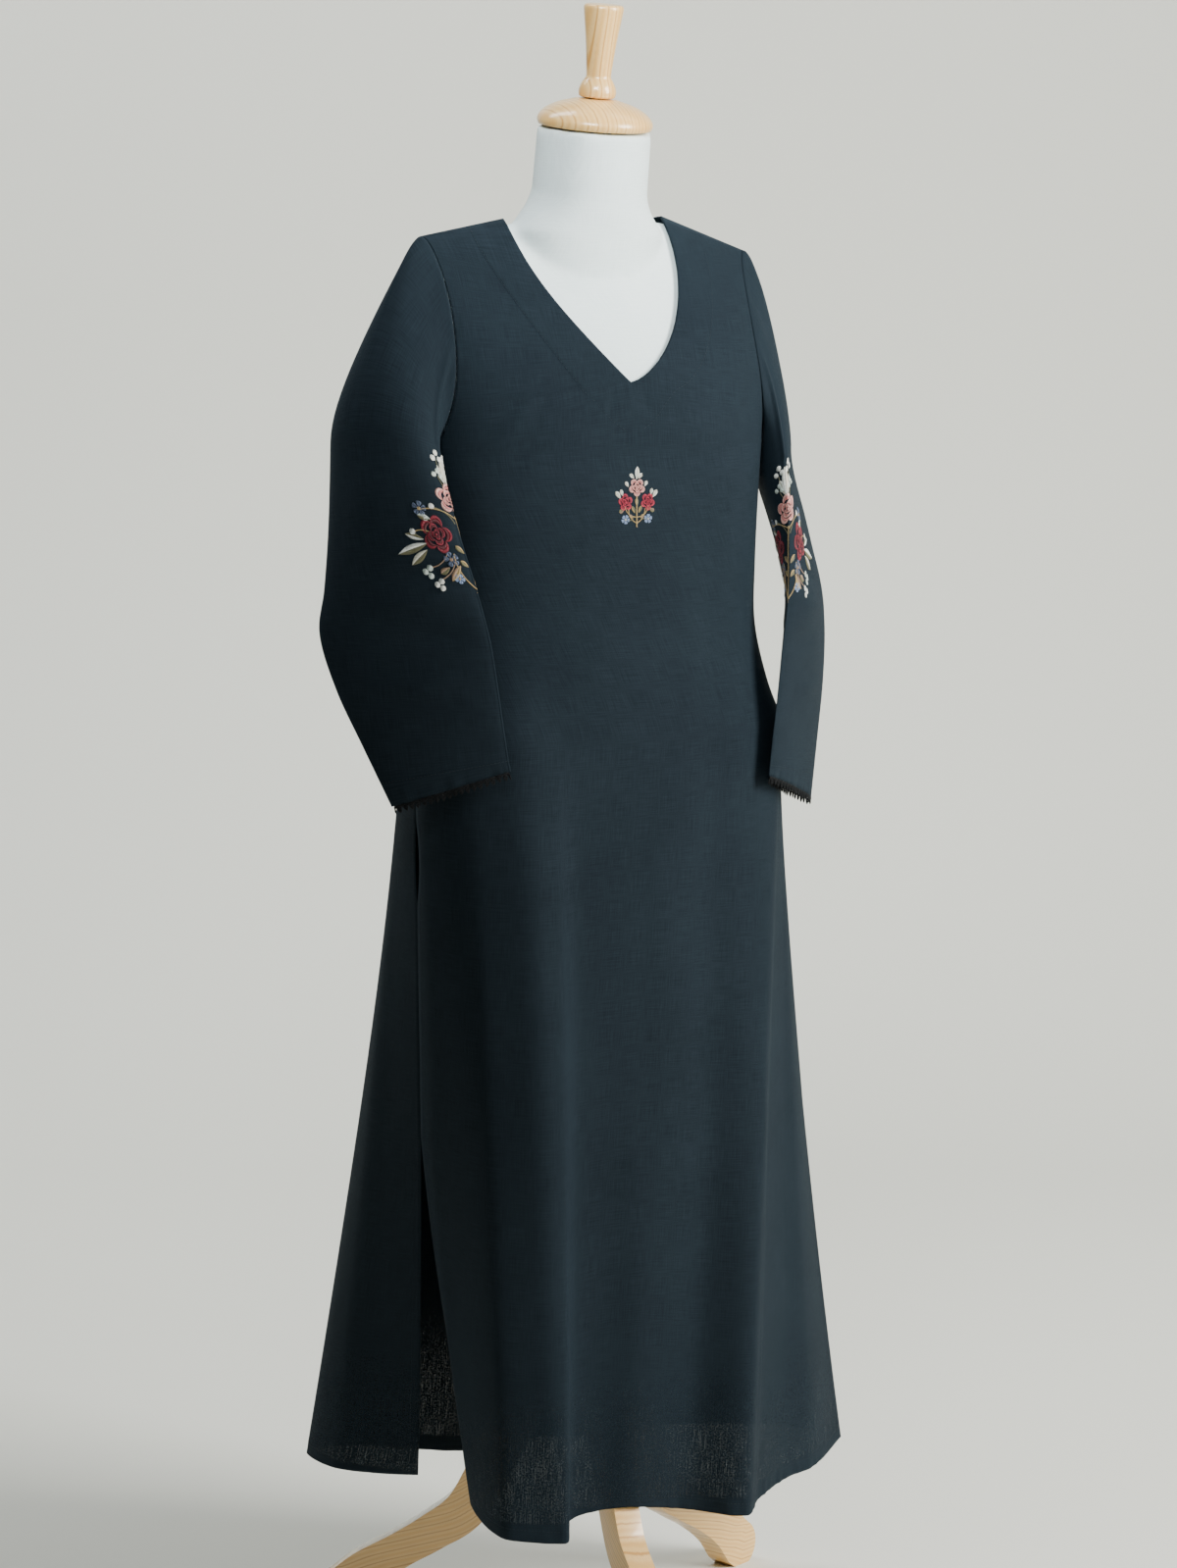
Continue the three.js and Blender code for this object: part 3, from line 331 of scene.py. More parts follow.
# Folds of a sleeve: across is measured round from the front crease, up is the distance below the armpit
sleeveFolds = [
    ([(0, 0), (0, -60), (0, -150), (0, -250), (0, -330)], 2.6, [1.0, 1.6, 1.6, 1.4, 1.2]),
    ([(10, -96), (46, -122), (92, -136)], 9, [0, -2.6, 0]),
    ([(8, -128), (50, -150), (98, -158)], 8, [0, 2.2, 0]),
    ([(10, -168), (40, -182), (84, -186)], 9, [0, -2.4, 0]),
    ([(30, -216), (66, -232), (110, -236)], 10, [0, 1.8, 0]),
    ([(60, -6), (80, -60), (94, -110)], 14, [0, 2.4, 0]),
    ([(-18, -110), (-52, -140), (-84, -156)], 9, [0, -2.4, 0]),
    ([(-14, -150), (-48, -172), (-80, -180)], 8, [0, 2.0, 0]),
]
sleeveScale = {"turn": 72.0, "down": 330.0, "half": 60.0}


def sectionPoint(side, down, turn):
    down, turn = np.broadcast_arrays(np.asarray(down, float), np.asarray(turn, float))
    away = (turn + 1) % 4 - 2
    across = away * sleeveScale["turn"]
    cuff = smooth((down - hemRipple["cuffFrom"]) / hemRipple["cuffFade"])
    relief = foldHeight(sleeveFolds, across, -down * sleeveScale["down"])
    relief = relief + hemRipple["cuffTall"] * stitchRipple(across) * cuff
    at = {name: along(sleeveTable, "down", down, name) for name in sleeveTable if name != "down"}
    crease = np.stack([at["fx"], at["fy"], at["fz"]], -1)
    backEdge = np.stack([at["bx"], at["by"], at["bz"]], -1)
    middle = (crease + backEdge) / 2
    chord = crease - middle
    out = np.stack([-chord[..., 1], chord[..., 0], 0 * down], -1)
    out /= np.linalg.norm(out, axis=-1, keepdims=True)
    angle = (turn - 1) * np.pi / 2
    lower = smooth(down * 2)
    swell = np.sign(np.sin(angle)) * np.abs(np.sin(angle)) ** mix(1, sleeveShape["sharp"], lower)
    hang = sleeveHang[side]
    lean = hang["slim"] * (1 - lower)
    stand = swell * np.where(swell > 0, at["outer"] - lean, at["inner"] + sleeveShape["slimInside"] * lean)
    point = middle + chord * np.cos(angle)[..., None] + out * stand[..., None]
    leaning = chord * np.cos(angle)[..., None] / sleeveScale["half"] + out * np.sin(angle)[..., None]
    point = point + leaning / np.linalg.norm(leaning, axis=-1, keepdims=True) * relief[..., None]
    point[..., 2] += swell * at["tilt"] - hang["drop"]
    point[..., 0] += hang["out"] * lower
    point[..., 1] += hang["behind"] * smooth(down)
    if side == "right":
        point[..., 0] *= -1
    return point


sleeveGrid = {"around": 128, "capSteps": 22, "rows": 84}


def sleeveRings(side):
    around, capSteps = sleeveGrid["around"], sleeveGrid["capSteps"]
    outward = -1 if side == "right" else 1
    turn = np.arange(around) / around * 4
    isFront = turn <= 2
    row = np.where(isFront, turn - 1, 3 - turn)
    armhole = np.zeros((around, 3))
    for panel, chosen in ((front, isFront), (back, ~isFront)):
        x, z, _ = armholeEdge(panel, side, row[chosen])
        armhole[chosen] = yokePoint(panel, x, z)
    armhole[np.abs(np.abs(row) - 1) < 1e-9, 1] = 0
    wave = np.cos(turn / 4 * 2 * np.pi)
    armhole[:, 0] += outward * mix(*capLook["seam"], ((1 + wave) / 2) ** 4)
    rings = [armhole]
    end, below = sectionPoint(side, 0, turn), sectionPoint(side, 0.06, turn)
    length = np.linalg.norm(end - armhole, axis=-1, keepdims=True)
    high = (1 - wave) / 2
    leave = np.stack([outward * mix(*capLook["out"], high), 0 * high, mix(*capLook["fall"], high)], -1)
    swell = np.interp(turn, range(5), capLook["swell"])[:, None]
    leave *= swell * length / np.linalg.norm(leave, axis=-1, keepdims=True)
    arrive = below - end
    arrive *= length / np.linalg.norm(arrive, axis=-1, keepdims=True)
    capBump, capCrease = (sum(tall * np.exp(-((turn - at) / wide) ** 2) for at, wide, tall in bumps)
                          for bumps in (capLook["bumps"], [capLook["crease"]]))
    for k in range(1, capSteps):
        t = k / capSteps
        ring = (armhole * (2 * t ** 3 - 3 * t ** 2 + 1) + leave * (t ** 3 - 2 * t ** 2 + t)
                + end * (3 * t ** 2 - 2 * t ** 3) + arrive * (t ** 3 - t ** 2))
        bump = capBump * smooth(t * 6) * (1 - smooth((t - 0.15) / 0.55))
        ring[:, 0] += outward * bump
        ring[:, 1] -= capCrease * smooth(t * 3)
        rings.append(ring)
    rings += [sectionPoint(side, down, turn) for down in np.linspace(0, 1, sleeveGrid["rows"] + 1)]
    return np.array(rings)


# Mesh helpers


def toFrame(points):
    return np.asarray(points, float) / 1000 + poleAxis


def link(obj):
    bpy.context.scene.collection.objects.link(obj)
    return obj


def newObject(name, mesh, material):
    mesh.materials.append(material)
    if mesh.polygons:
        mesh.shade_smooth()
    return link(bpy.data.objects.new(name, mesh))


def pointVectors(mesh, name, values):
    attribute = mesh.attributes.new(name, "FLOAT_VECTOR", "POINT")
    attribute.data.foreach_set("vector", values.astype(np.float32).ravel())


def leftOf(run):
    return np.array([-run[1], run[0]])


def unit(vectors):
    return vectors / np.linalg.norm(vectors, axis=-1, keepdims=True)


def gridIds(points, start=0):
    return np.arange(start, start + points.shape[0] * points.shape[1]).reshape(points.shape[:2])


# Distance along each row of a grid, measured from one of its columns
def acrossRows(rows, centre):
    steps = np.linalg.norm(np.diff(rows, axis=1), axis=2)
    across = np.concatenate([np.zeros((len(rows), 1)), np.cumsum(steps, 1)], 1)
    return across - across[:, centre:centre + 1]


def vertexNormals(points, quads):
    a, b, c, d = (points[quads[:, k]] for k in range(4))
    faceNormal = np.cross(c - a, d - b)
    sums = np.zeros_like(points)
    for k in range(4):
        np.add.at(sums, quads[:, k], faceNormal)
    return sums / np.maximum(np.linalg.norm(sums, axis=1, keepdims=True), 1e-9)


# A closed thin wall inward from a grid of points; uv is in metres of cloth
def clothShell(name, points, quads, uv, thick, material):
    normals = vertexNormals(points, quads)
    count = len(points)
    inner = points - normals * np.broadcast_to(thick, (count,))[:, None]
    edges = dict.fromkeys((quad[k], quad[(k + 1) % 4]) for quad in quads for k in range(4))
    rim = [(b, a, a + count, b + count) for a, b in edges if (b, a) not in edges]
    faces = np.concatenate([quads, quads[:, ::-1] + count, np.array(rim, int).reshape(-1, 4)])
    mesh = bpy.data.meshes.new(name)
    mesh.from_pydata(toFrame(np.concatenate([points, inner])).tolist(), [], faces.tolist())
    layer = mesh.uv_layers.new(name="cloth")
    both = np.concatenate([uv, uv])
    layer.data.foreach_set("uv", both[faces.ravel()].astype(np.float32).ravel())
    mesh.validate()
    return newObject(name, mesh, material)


def gridQuads(ids, closed=False):
    right = np.roll(ids, -1, 1) if closed else ids[:, 1:]
    left = ids if closed else ids[:, :-1]
    return np.stack([left[:-1], right[:-1], right[1:], left[1:]], -1).reshape(-1, 4)


def arcLength(points):
    return np.concatenate([[0], np.cumsum(np.linalg.norm(np.diff(points, axis=0), axis=1))])


# Shader groups and materials


def newTree(name, kind, inputs, outputs):
    tree = bpy.data.node_groups.new(name, kind)
    for label, socket, value in inputs:
        item = tree.interface.new_socket(label, in_out="INPUT", socket_type=socket)
        if value is not None:
            item.default_value = value
    for label, socket in outputs:
        tree.interface.new_socket(label, in_out="OUTPUT", socket_type=socket)
    return tree, tree.nodes.new("NodeGroupInput"), tree.nodes.new("NodeGroupOutput")


def wire(tree, made, values=None, links=None):
    for key, value in (values or {}).items():
        made.inputs[key].default_value = value
    for key, socket in (links or {}).items():
        tree.links.new(socket, made.inputs[key])
    return made


def node(tree, kind, values=None, links=None, **settings):
    made = tree.nodes.new(kind)
    for name, value in settings.items():
        setattr(made, name, value)
    return wire(tree, made, values, links)


def mathNode(tree, operation, *terms):
    made = node(tree, "ShaderNodeMath", operation=operation)
    for k, term in enumerate(terms):
        if isinstance(term, (int, float)):
            made.inputs[k].default_value = term
        else:
            tree.links.new(term, made.inputs[k])
    return made.outputs[0]


# Plain weave: warp and weft ridges, long slubs in both, and a soft cloudiness
def buildWeave():
    tree, source, result = newTree("plainWeave", "ShaderNodeTree",
        [("Vector", "NodeSocketVector", None), ("Pitch", "NodeSocketFloat", 0.0006),
         ("Slub", "NodeSocketFloat", 0.5)],
        [("Height", "NodeSocketFloat"), ("Tone", "NodeSocketFloat"), ("Open", "NodeSocketFloat")])
    vector = source.outputs["Vector"]
    parts = node(tree, "ShaderNodeSeparateXYZ", links={0: vector})
    rate = mathNode(tree, "DIVIDE", 2 * math.pi, source.outputs["Pitch"])
    warp = mathNode(tree, "SINE", mathNode(tree, "MULTIPLY", parts.outputs[0], rate))
    weft = mathNode(tree, "SINE", mathNode(tree, "MULTIPLY", parts.outputs[1], rate))
    weave = mathNode(tree, "MULTIPLY", warp, weft)
    slubs = []
    for scale in ((38, 1500, 0), (1500, 38, 0)):
        mapping = node(tree, "ShaderNodeMapping", {"Scale": scale}, {"Vector": vector})
        noise = node(tree, "ShaderNodeTexNoise", {"Scale": 1.0, "Detail": 3.0, "Roughness": 0.6},
                     {"Vector": mapping.outputs[0]})
        slubs.append(noise.outputs["Fac"])
    both = mathNode(tree, "ADD", slubs[0], slubs[1])
    cloud = node(tree, "ShaderNodeTexNoise", {"Scale": 9.0, "Detail": 2.0}, {"Vector": vector})
    cloudy = mathNode(tree, "MULTIPLY", mathNode(tree, "SUBTRACT", cloud.outputs["Fac"], 0.5), 0.5)
    slubPart = mathNode(tree, "MULTIPLY", mathNode(tree, "SUBTRACT", both, 1.0), source.outputs["Slub"])
    height = mathNode(tree, "ADD", mathNode(tree, "MULTIPLY", weave, 0.35), slubPart)
    tone = mathNode(tree, "ADD", mathNode(tree, "MULTIPLY", slubPart, 2.4), cloudy)
    fine = node(tree, "ShaderNodeTexNoise", {"Scale": 520.0, "Detail": 1.0}, {"Vector": vector})
    streak = mathNode(tree, "ADD", mathNode(tree, "MULTIPLY", slubs[1], 1.5), fine.outputs["Fac"])
    opened = mathNode(tree, "MULTIPLY", mathNode(tree, "SUBTRACT", streak, 1.12), 2.4)
    wire(tree, result, links={"Height": height, "Tone": tone, "Open": opened})
    return tree


# Growth bands that run along the second coordinate, with fine pores
def buildGrain():
    tree, source, result = newTree("woodGrain", "ShaderNodeTree",
        [("Vector", "NodeSocketVector", None), ("Bands", "NodeSocketFloat", 90.0),
         ("Warp", "NodeSocketFloat", 1.6)],
        [("Band", "NodeSocketFloat"), ("Pore", "NodeSocketFloat")])
    stretch = node(tree, "ShaderNodeMapping", {"Scale": (1, 1, 0.16)}, {"Vector": source.outputs["Vector"]})
    wave = node(tree, "ShaderNodeTexWave", {"Detail": 3.0, "Detail Scale": 1.4, "Detail Roughness": 0.55},
                {"Vector": stretch.outputs[0], "Scale": source.outputs["Bands"],
                 "Distortion": source.outputs["Warp"]}, wave_type="BANDS", bands_direction="X")
    fine = node(tree, "ShaderNodeMapping", {"Scale": (1800, 1800, 60)}, {"Vector": source.outputs["Vector"]})
    pore = node(tree, "ShaderNodeTexNoise", {"Scale": 1.0, "Detail": 2.0}, {"Vector": fine.outputs[0]})
    wire(tree, result, links={"Band": wave.outputs["Fac"], "Pore": pore.outputs["Fac"]})
    return tree


weaveGroup, grainGroup = buildWeave(), buildGrain()


def newMaterial(name):
    material = bpy.data.materials.new(name)
    material.use_nodes = True
    tree = material.node_tree
    return material, tree, tree.nodes["Principled BSDF"]


def colourRamp(tree, factor, stops):
    ramp = node(tree, "ShaderNodeValToRGB", links={0: factor})
    elements = ramp.color_ramp.elements
    while len(elements) < len(stops):
        elements.new(0.5)
    for element, (place, colour) in zip(elements, stops):
        element.position = place
        element.color = (*colour, 1)
    return ramp.outputs[0]


cottonLook = {
    "tones": [(0.15, (0.0036, 0.0082, 0.0128)), (0.9, (0.0096, 0.0182, 0.0256))],
    "pitch": 0.0006, "slub": 0.55, "roughness": 0.84, "uneven": 0.08, "bump": 0.55, "relief": 0.00025,
    "sheen": 0.03, "sheenTint": (0.35, 0.62, 0.85), "openness": 0.186,
    "clear": (0.33, 0.24), "hemTop": (0.164, 0.168),
}


# A cloth's colour, roughness and bump from the plain weave; gives the weave's node back
def applyWeave(tree, shader, vector, look):
    weave = node(tree, "ShaderNodeGroup", {"Pitch": look["pitch"], "Slub": look["slub"]}, {"Vector": vector},
                 node_tree=weaveGroup)
    tone = mathNode(tree, "ADD", weave.outputs["Tone"], 0.5)
    uneven = mathNode(tree, "MULTIPLY", weave.outputs["Tone"], -look["uneven"])
    bump = node(tree, "ShaderNodeBump", {"Strength": look["bump"], "Distance": look["relief"]},
                {"Height": weave.outputs["Height"]})
    wire(tree, shader, links={"Base Color": colourRamp(tree, tone, look["tones"]),
                              "Roughness": mathNode(tree, "ADD", uneven, look["roughness"]),
                              "Normal": bump.outputs[0]})
    return weave


def buildCotton(name, seeThrough=False):
    look = cottonLook
    material, tree, shader = newMaterial(name)
    uv = node(tree, "ShaderNodeUVMap", uv_map="cloth")
    weave = applyWeave(tree, shader, uv.outputs[0], look)
    wire(tree, shader, {"Sheen Weight": look["sheen"], "Sheen Roughness": 0.45,
                        "Sheen Tint": (*look["sheenTint"], 1), "Specular IOR Level": 0.14})
    if seeThrough:  # the single layer near the hem lets some of the floor's light through
        place = node(tree, "ShaderNodeTexCoord")
        parts = node(tree, "ShaderNodeSeparateXYZ", links={0: place.outputs["Object"]})
        gap = mathNode(tree, "MAXIMUM", weave.outputs["Open"], 0.0)
        for start, end in (look["clear"], look["hemTop"]):
            share = node(tree, "ShaderNodeMapRange", {"From Min": start, "From Max": end},
                         {"Value": parts.outputs[2]})
            gap = mathNode(tree, "MULTIPLY", gap, share.outputs[0])
        alpha = mathNode(tree, "SUBTRACT", 1.0, mathNode(tree, "MULTIPLY", gap, look["openness"]))
        tree.links.new(alpha, shader.inputs["Alpha"])
    return material


def buildThread(name, colour=None, gloss=0.45, sheen=0.08):
    material, tree, shader = newMaterial(name)
    place = node(tree, "ShaderNodeTexCoord")
    fuzz = node(tree, "ShaderNodeTexNoise", {"Scale": 2600.0, "Detail": 2.0},
                {"Vector": place.outputs["Object"]})
    dim = colourRamp(tree, fuzz.outputs["Fac"], [(0.25, (0.62, 0.62, 0.62)), (0.75, (1, 1, 1))])
    tint = node(tree, "ShaderNodeMix", {0: 1.0}, {6: dim}, data_type="RGBA", blend_type="MULTIPLY")
    if colour is None:
        attribute = node(tree, "ShaderNodeAttribute", attribute_name="tint")
        tree.links.new(attribute.outputs["Color"], tint.inputs[7])
    else:
        tint.inputs[7].default_value = (*colour, 1)
    bump = node(tree, "ShaderNodeBump", {"Strength": 0.3, "Distance": 0.0001},
                {"Height": fuzz.outputs["Fac"]})
    shine = 0.5 if colour is None else 0.2
    wire(tree, shader, {"Roughness": gloss, "Sheen Weight": sheen, "Specular IOR Level": shine},
         {"Base Color": tint.outputs[2], "Normal": bump.outputs[0]})
    return material


linenLook = {
    "tones": [(0.2, (0.68, 0.785, 0.78)), (0.8, (0.78, 0.88, 0.875))], "pitch": 0.0009, "slub": 0.5,
    "roughness": 0.9, "uneven": 0.05, "bump": 0.35, "relief": 0.0003,
}


def buildLinen(name):
    material, tree, shader = newMaterial(name)
    place = node(tree, "ShaderNodeTexCoord")
    parts = node(tree, "ShaderNodeSeparateXYZ", links={0: place.outputs["Object"]})
    flat = node(tree, "ShaderNodeCombineXYZ",
                links={0: mathNode(tree, "ADD", parts.outputs[0], parts.outputs[1]), 1: parts.outputs[2]})
    applyWeave(tree, shader, flat.outputs[0], linenLook)
    return material


woodLook = {
    "pale": (0.84, 0.54, 0.205), "mid": (0.77, 0.45, 0.14), "dark": (0.60, 0.31, 0.08), "bands": 34.0,
    "roughness": 0.28, "uneven": 0.12, "coat": 0.6,
}


def buildWood(name):
    look = woodLook
    material, tree, shader = newMaterial(name)
    attribute = node(tree, "ShaderNodeAttribute", attribute_name="grain")
    grain = node(tree, "ShaderNodeGroup", {"Bands": look["bands"]}, {"Vector": attribute.outputs["Vector"]},
                 node_tree=grainGroup)
    bands = [(0.0, look["mid"]), (0.45, look["pale"]), (0.9, look["pale"]), (1.0, look["dark"])]
    colour = colourRamp(tree, grain.outputs["Band"], bands)
    dim = colourRamp(tree, grain.outputs["Pore"], [(0.3, (0.8, 0.78, 0.74)), (0.6, (1, 1, 1))])
    tint = node(tree, "ShaderNodeMix", {0: 0.6}, {6: colour, 7: dim}, data_type="RGBA", blend_type="MULTIPLY")
    uneven = mathNode(tree, "MULTIPLY", grain.outputs["Pore"], look["uneven"])
    bump = node(tree, "ShaderNodeBump", {"Strength": 0.2, "Distance": 0.0002},
                {"Height": grain.outputs["Pore"]})
    wire(tree, shader, {"Coat Weight": look["coat"], "Coat Roughness": 0.12},
         {"Base Color": tint.outputs[2], "Roughness": mathNode(tree, "ADD", uneven, look["roughness"]),
          "Normal": bump.outputs[0]})
    return material


def buildSteel(name):
    material, tree, shader = newMaterial(name)
    place = node(tree, "ShaderNodeTexCoord")
    stretch = node(tree, "ShaderNodeMapping", {"Scale": (900, 900, 12)}, {"Vector": place.outputs["Object"]})
    brushed = node(tree, "ShaderNodeTexNoise", {"Scale": 1.0, "Detail": 3.0}, {"Vector": stretch.outputs[0]})
    tones = colourRamp(tree, brushed.outputs["Fac"], [(0.3, (0.36, 0.36, 0.37)), (0.7, (0.52, 0.52, 0.53))])
    rough = mathNode(tree, "ADD", mathNode(tree, "MULTIPLY", brushed.outputs["Fac"], 0.2), 0.2)
    wire(tree, shader, {"Metallic": 1.0}, {"Base Color": tones, "Roughness": rough})
    return material


cotton, thinCotton = buildCotton("navyCotton"), buildCotton("navyCottonHem", True)
sewingThread = buildThread("darkThread", (0.010, 0.018, 0.025), 0.7, 0.05)
laceThread = buildThread("blackLaceThread", (0.004, 0.005, 0.006), 0.8, 0.0)
silkThread = buildThread("embroideryThread")
linen, wood, steel = buildLinen("formLinen"), buildWood("lacqueredWood"), buildSteel("steelTube")
print("materials built")

# Threads laid by Geometry Nodes


# One raised strand on each point, turned along "run" and standing on "face"
def buildStrands():
    tree, source, result = newTree("laidStrands", "GeometryNodeTree",
        [("Geometry", "NodeSocketGeometry", None), ("Sides", "NodeSocketInt", 5),
         ("Segments", "NodeSocketInt", 3), ("Arch", "NodeSocketFloat", 0.5),
         ("Material", "NodeSocketMaterial", None)],
        [("Geometry", "NodeSocketGeometry")])
    tube = node(tree, "GeometryNodeMeshCylinder", {"Radius": 0.5, "Depth": 1.0},
                {"Vertices": source.outputs["Sides"], "Side Segments": source.outputs["Segments"]})
    place = node(tree, "GeometryNodeInputPosition")
    parts = node(tree, "ShaderNodeSeparateXYZ", links={0: place.outputs[0]})
    far = mathNode(tree, "MULTIPLY", parts.outputs[2], 2.0)
    bulge = mathNode(tree, "SUBTRACT", 1.0, mathNode(tree, "MULTIPLY", far, far))
    taper = mathNode(tree, "ADD", mathNode(tree, "MULTIPLY", bulge, 0.55), 0.45)
    lifted = mathNode(tree, "ADD", mathNode(tree, "MULTIPLY", parts.outputs[0], taper),
                      mathNode(tree, "MULTIPLY", bulge, source.outputs["Arch"]))
    narrow = mathNode(tree, "MULTIPLY", parts.outputs[1], taper)
    bent = node(tree, "ShaderNodeCombineXYZ", links={0: lifted, 1: narrow, 2: parts.outputs[2]})
    strand = node(tree, "GeometryNodeSetPosition",
                  links={"Geometry": tube.outputs["Mesh"], "Position": bent.outputs[0]})
    named = [node(tree, "GeometryNodeInputNamedAttribute", {"Name": name}, data_type="FLOAT_VECTOR")
             for name in ("run", "face", "size")]
    run, face, size = (made.outputs["Attribute"] for made in named)
    turn = node(tree, "FunctionNodeAxesToRotation", links={"Primary Axis": run, "Secondary Axis": face},
                primary_axis="Z", secondary_axis="X")
    laid = node(tree, "GeometryNodeInstanceOnPoints", links={
        "Points": source.outputs["Geometry"], "Instance": strand.outputs["Geometry"],
        "Rotation": turn.outputs[0], "Scale": size})
    real = node(tree, "GeometryNodeRealizeInstances", links={"Geometry": laid.outputs[0]})
    dressed = node(tree, "GeometryNodeSetMaterial", links={
        "Geometry": real.outputs[0], "Material": source.outputs["Material"]})
    tree.links.new(dressed.outputs[0], result.inputs["Geometry"])
    return tree


strandTree = buildStrands()


def runNodes(obj, tree, **inputs):
    modifier = obj.modifiers.new("nodes", "NODES")
    modifier.node_group = tree
    for item in tree.interface.items_tree:
        if getattr(item, "in_out", "") == "INPUT" and item.name in inputs:
            modifier[item.identifier] = inputs[item.name]
    evaluated = obj.evaluated_get(bpy.context.evaluated_depsgraph_get())
    mesh = bpy.data.meshes.new_from_object(evaluated)
    mesh.name = obj.name
    obj.modifiers.clear()
    obj.data = mesh
    return obj


# Each strand is (start, end, outward, width, height, tint), in millimetres
def layStrands(name, strands, material, sides=5, segments=3, arch=0.5):
    start = np.array([s[0] for s in strands])
    end = np.array([s[1] for s in strands])
    run = end - start
    length = np.linalg.norm(run, axis=1)
    size = np.stack([[s[4] for s in strands], [s[3] for s in strands], length], -1) / 1000
    mesh = bpy.data.meshes.new(name)
    mesh.from_pydata(toFrame((start + end) / 2).tolist(), [], [])
    outward = np.array([s[2] for s in strands])
    for label, values in (("run", run / length[:, None]), ("face", outward), ("size", size)):
        pointVectors(mesh, label, values)
    tints = np.array([(*s[5], 1) for s in strands], np.float32)
    mesh.attributes.new("tint", "FLOAT_COLOR", "POINT").data.foreach_set("color", tints.ravel())
    obj = newObject(name, mesh, material)
    runNodes(obj, strandTree, Sides=sides, Segments=segments, Arch=arch, Material=material)
    obj.data.shade_smooth()
    return obj


# Panels

panelGrid = {
    "columns": 144, "skirtStep": 6.0, "hemStep": 2.4, "hemRise": 24,
    "yokeRows": 13, "neckRows": 32, "backRows": 43,
}


def panelLevels():
    start = garment["hem"] + panelGrid["hemRise"]
    count = int((garment["underarm"] - start) / panelGrid["skirtStep"])
    hemLevels = np.arange(garment["hem"], start, panelGrid["hemStep"])
    return np.concatenate([hemLevels, np.linspace(start, garment["underarm"], count)])


def rowUv(points, centre, levels):
    across = acrossRows(points, centre)
    return np.stack([across, np.broadcast_to(levels[:, None], across.shape)], -1) / 1000


# The panel's full-width part: skirt and bodice below the underarm, and the yoke's rows above it
def wholeRows(panel, yokeAt, rows):
    half = panelGrid["columns"] // 2
    share = np.linspace(0, 1, panelGrid["columns"] + 1)
    out = np.abs(2 * share - 1)
    levels = panelLevels()
    yoke = np.concatenate([yokeAt("right", rows[:, None], out[None, :half]),
                           yokeAt("left", rows[:, None], out[None, half:])], 1)
    full = np.concatenate([panelPoint(panel, share[None, :], levels[:, None]), yoke])
    uv = rowUv(full, half, np.concatenate([levels, yoke[:, half, 2]]))
    return full.reshape(-1, 3), gridIds(full), uv.reshape(-1, 2)


def buildFront():
    half = panelGrid["columns"] // 2
    below = np.linspace(0, garment["pointRow"], panelGrid["yokeRows"] + 1)[1:]
    full, ids, uv = wholeRows(front, frontYoke, below)
    points, quads, uvs, count = [full], [gridQuads(ids)], [uv], ids.size
    neck = np.linspace(garment["pointRow"], garment["yokeRows"], panelGrid["neckRows"] + 1)[1:]
    for side in ("right", "left"):
        columns = slice(0, half + 1) if side == "right" else slice(half, None)
        edge = half if side == "right" else 0
        out = np.abs(2 * np.linspace(0, 1, 2 * half + 1) - 1)[columns]
        patch = frontYoke(side, neck[:, None], out[None, :])
        uv = rowUv(patch, edge, patch[:, 0, 2])
        uv[..., 0] += patch[:, edge, 0][:, None] / 1000
        points.append(patch.reshape(-1, 3))
        quads.append(gridQuads(np.concatenate([ids[-1:, columns], gridIds(patch, count)])))
        uvs.append(uv.reshape(-1, 2))
        count += patch.shape[0] * patch.shape[1]
    return np.concatenate(points), np.concatenate(quads), np.concatenate(uvs)


def buildBack():
    rows = np.linspace(0, garment["yokeRows"], panelGrid["backRows"] + 1)[1:]
    points, ids, uv = wholeRows(back, backYoke, rows)
    return points, gridQuads(ids)[:, ::-1], uv


def hemThickness(points):
    rise = points[:, 2] - garment["hem"]
    return garment["clothThick"] * (1 + 0.8 * (1 - smooth((rise - garment["hemTurn"]) / 4)))


def dressHem(obj):
    obj.data.materials.append(thinCotton)
    for polygon in obj.data.polygons:
        if polygon.center.z < cottonLook["clear"][0]:
            polygon.material_index = 1


panelForm, panels = {"front": buildFront(), "back": buildBack()}, {}
for side, (points, quads, uv) in panelForm.items():
    panels[side] = clothShell(side + "PanelCloth", points, quads, uv, hemThickness(points), cotton)
    dressHem(panels[side])
frontCloth, backCloth = panels["front"], panels["back"]
print("panels built")

# Sleeves

def buildSleeve(side, rings):
    quads = gridQuads(gridIds(rings), closed=True)
    if side == "left":
        quads = quads[:, ::-1]
    crease = sleeveGrid["around"] // 4
    uv = rowUv(rings, crease, -arcLength(rings[:, crease])).reshape(-1, 2)
    return clothShell(side + "SleeveCloth", rings.reshape(-1, 3), quads, uv, garment["clothThick"], cotton)


sleeveForm = {side: sleeveRings(side) for side in ("right", "left")}
sleeves = {side: buildSleeve(side, rings) for side, rings in sleeveForm.items()}
print("sleeves built")

# Inside pieces: facing and pocket bag


facingLook = {"steps": 8, "pointRows": 9, "neckRows": 29, "behind": 0.7, "wall": 0.7}


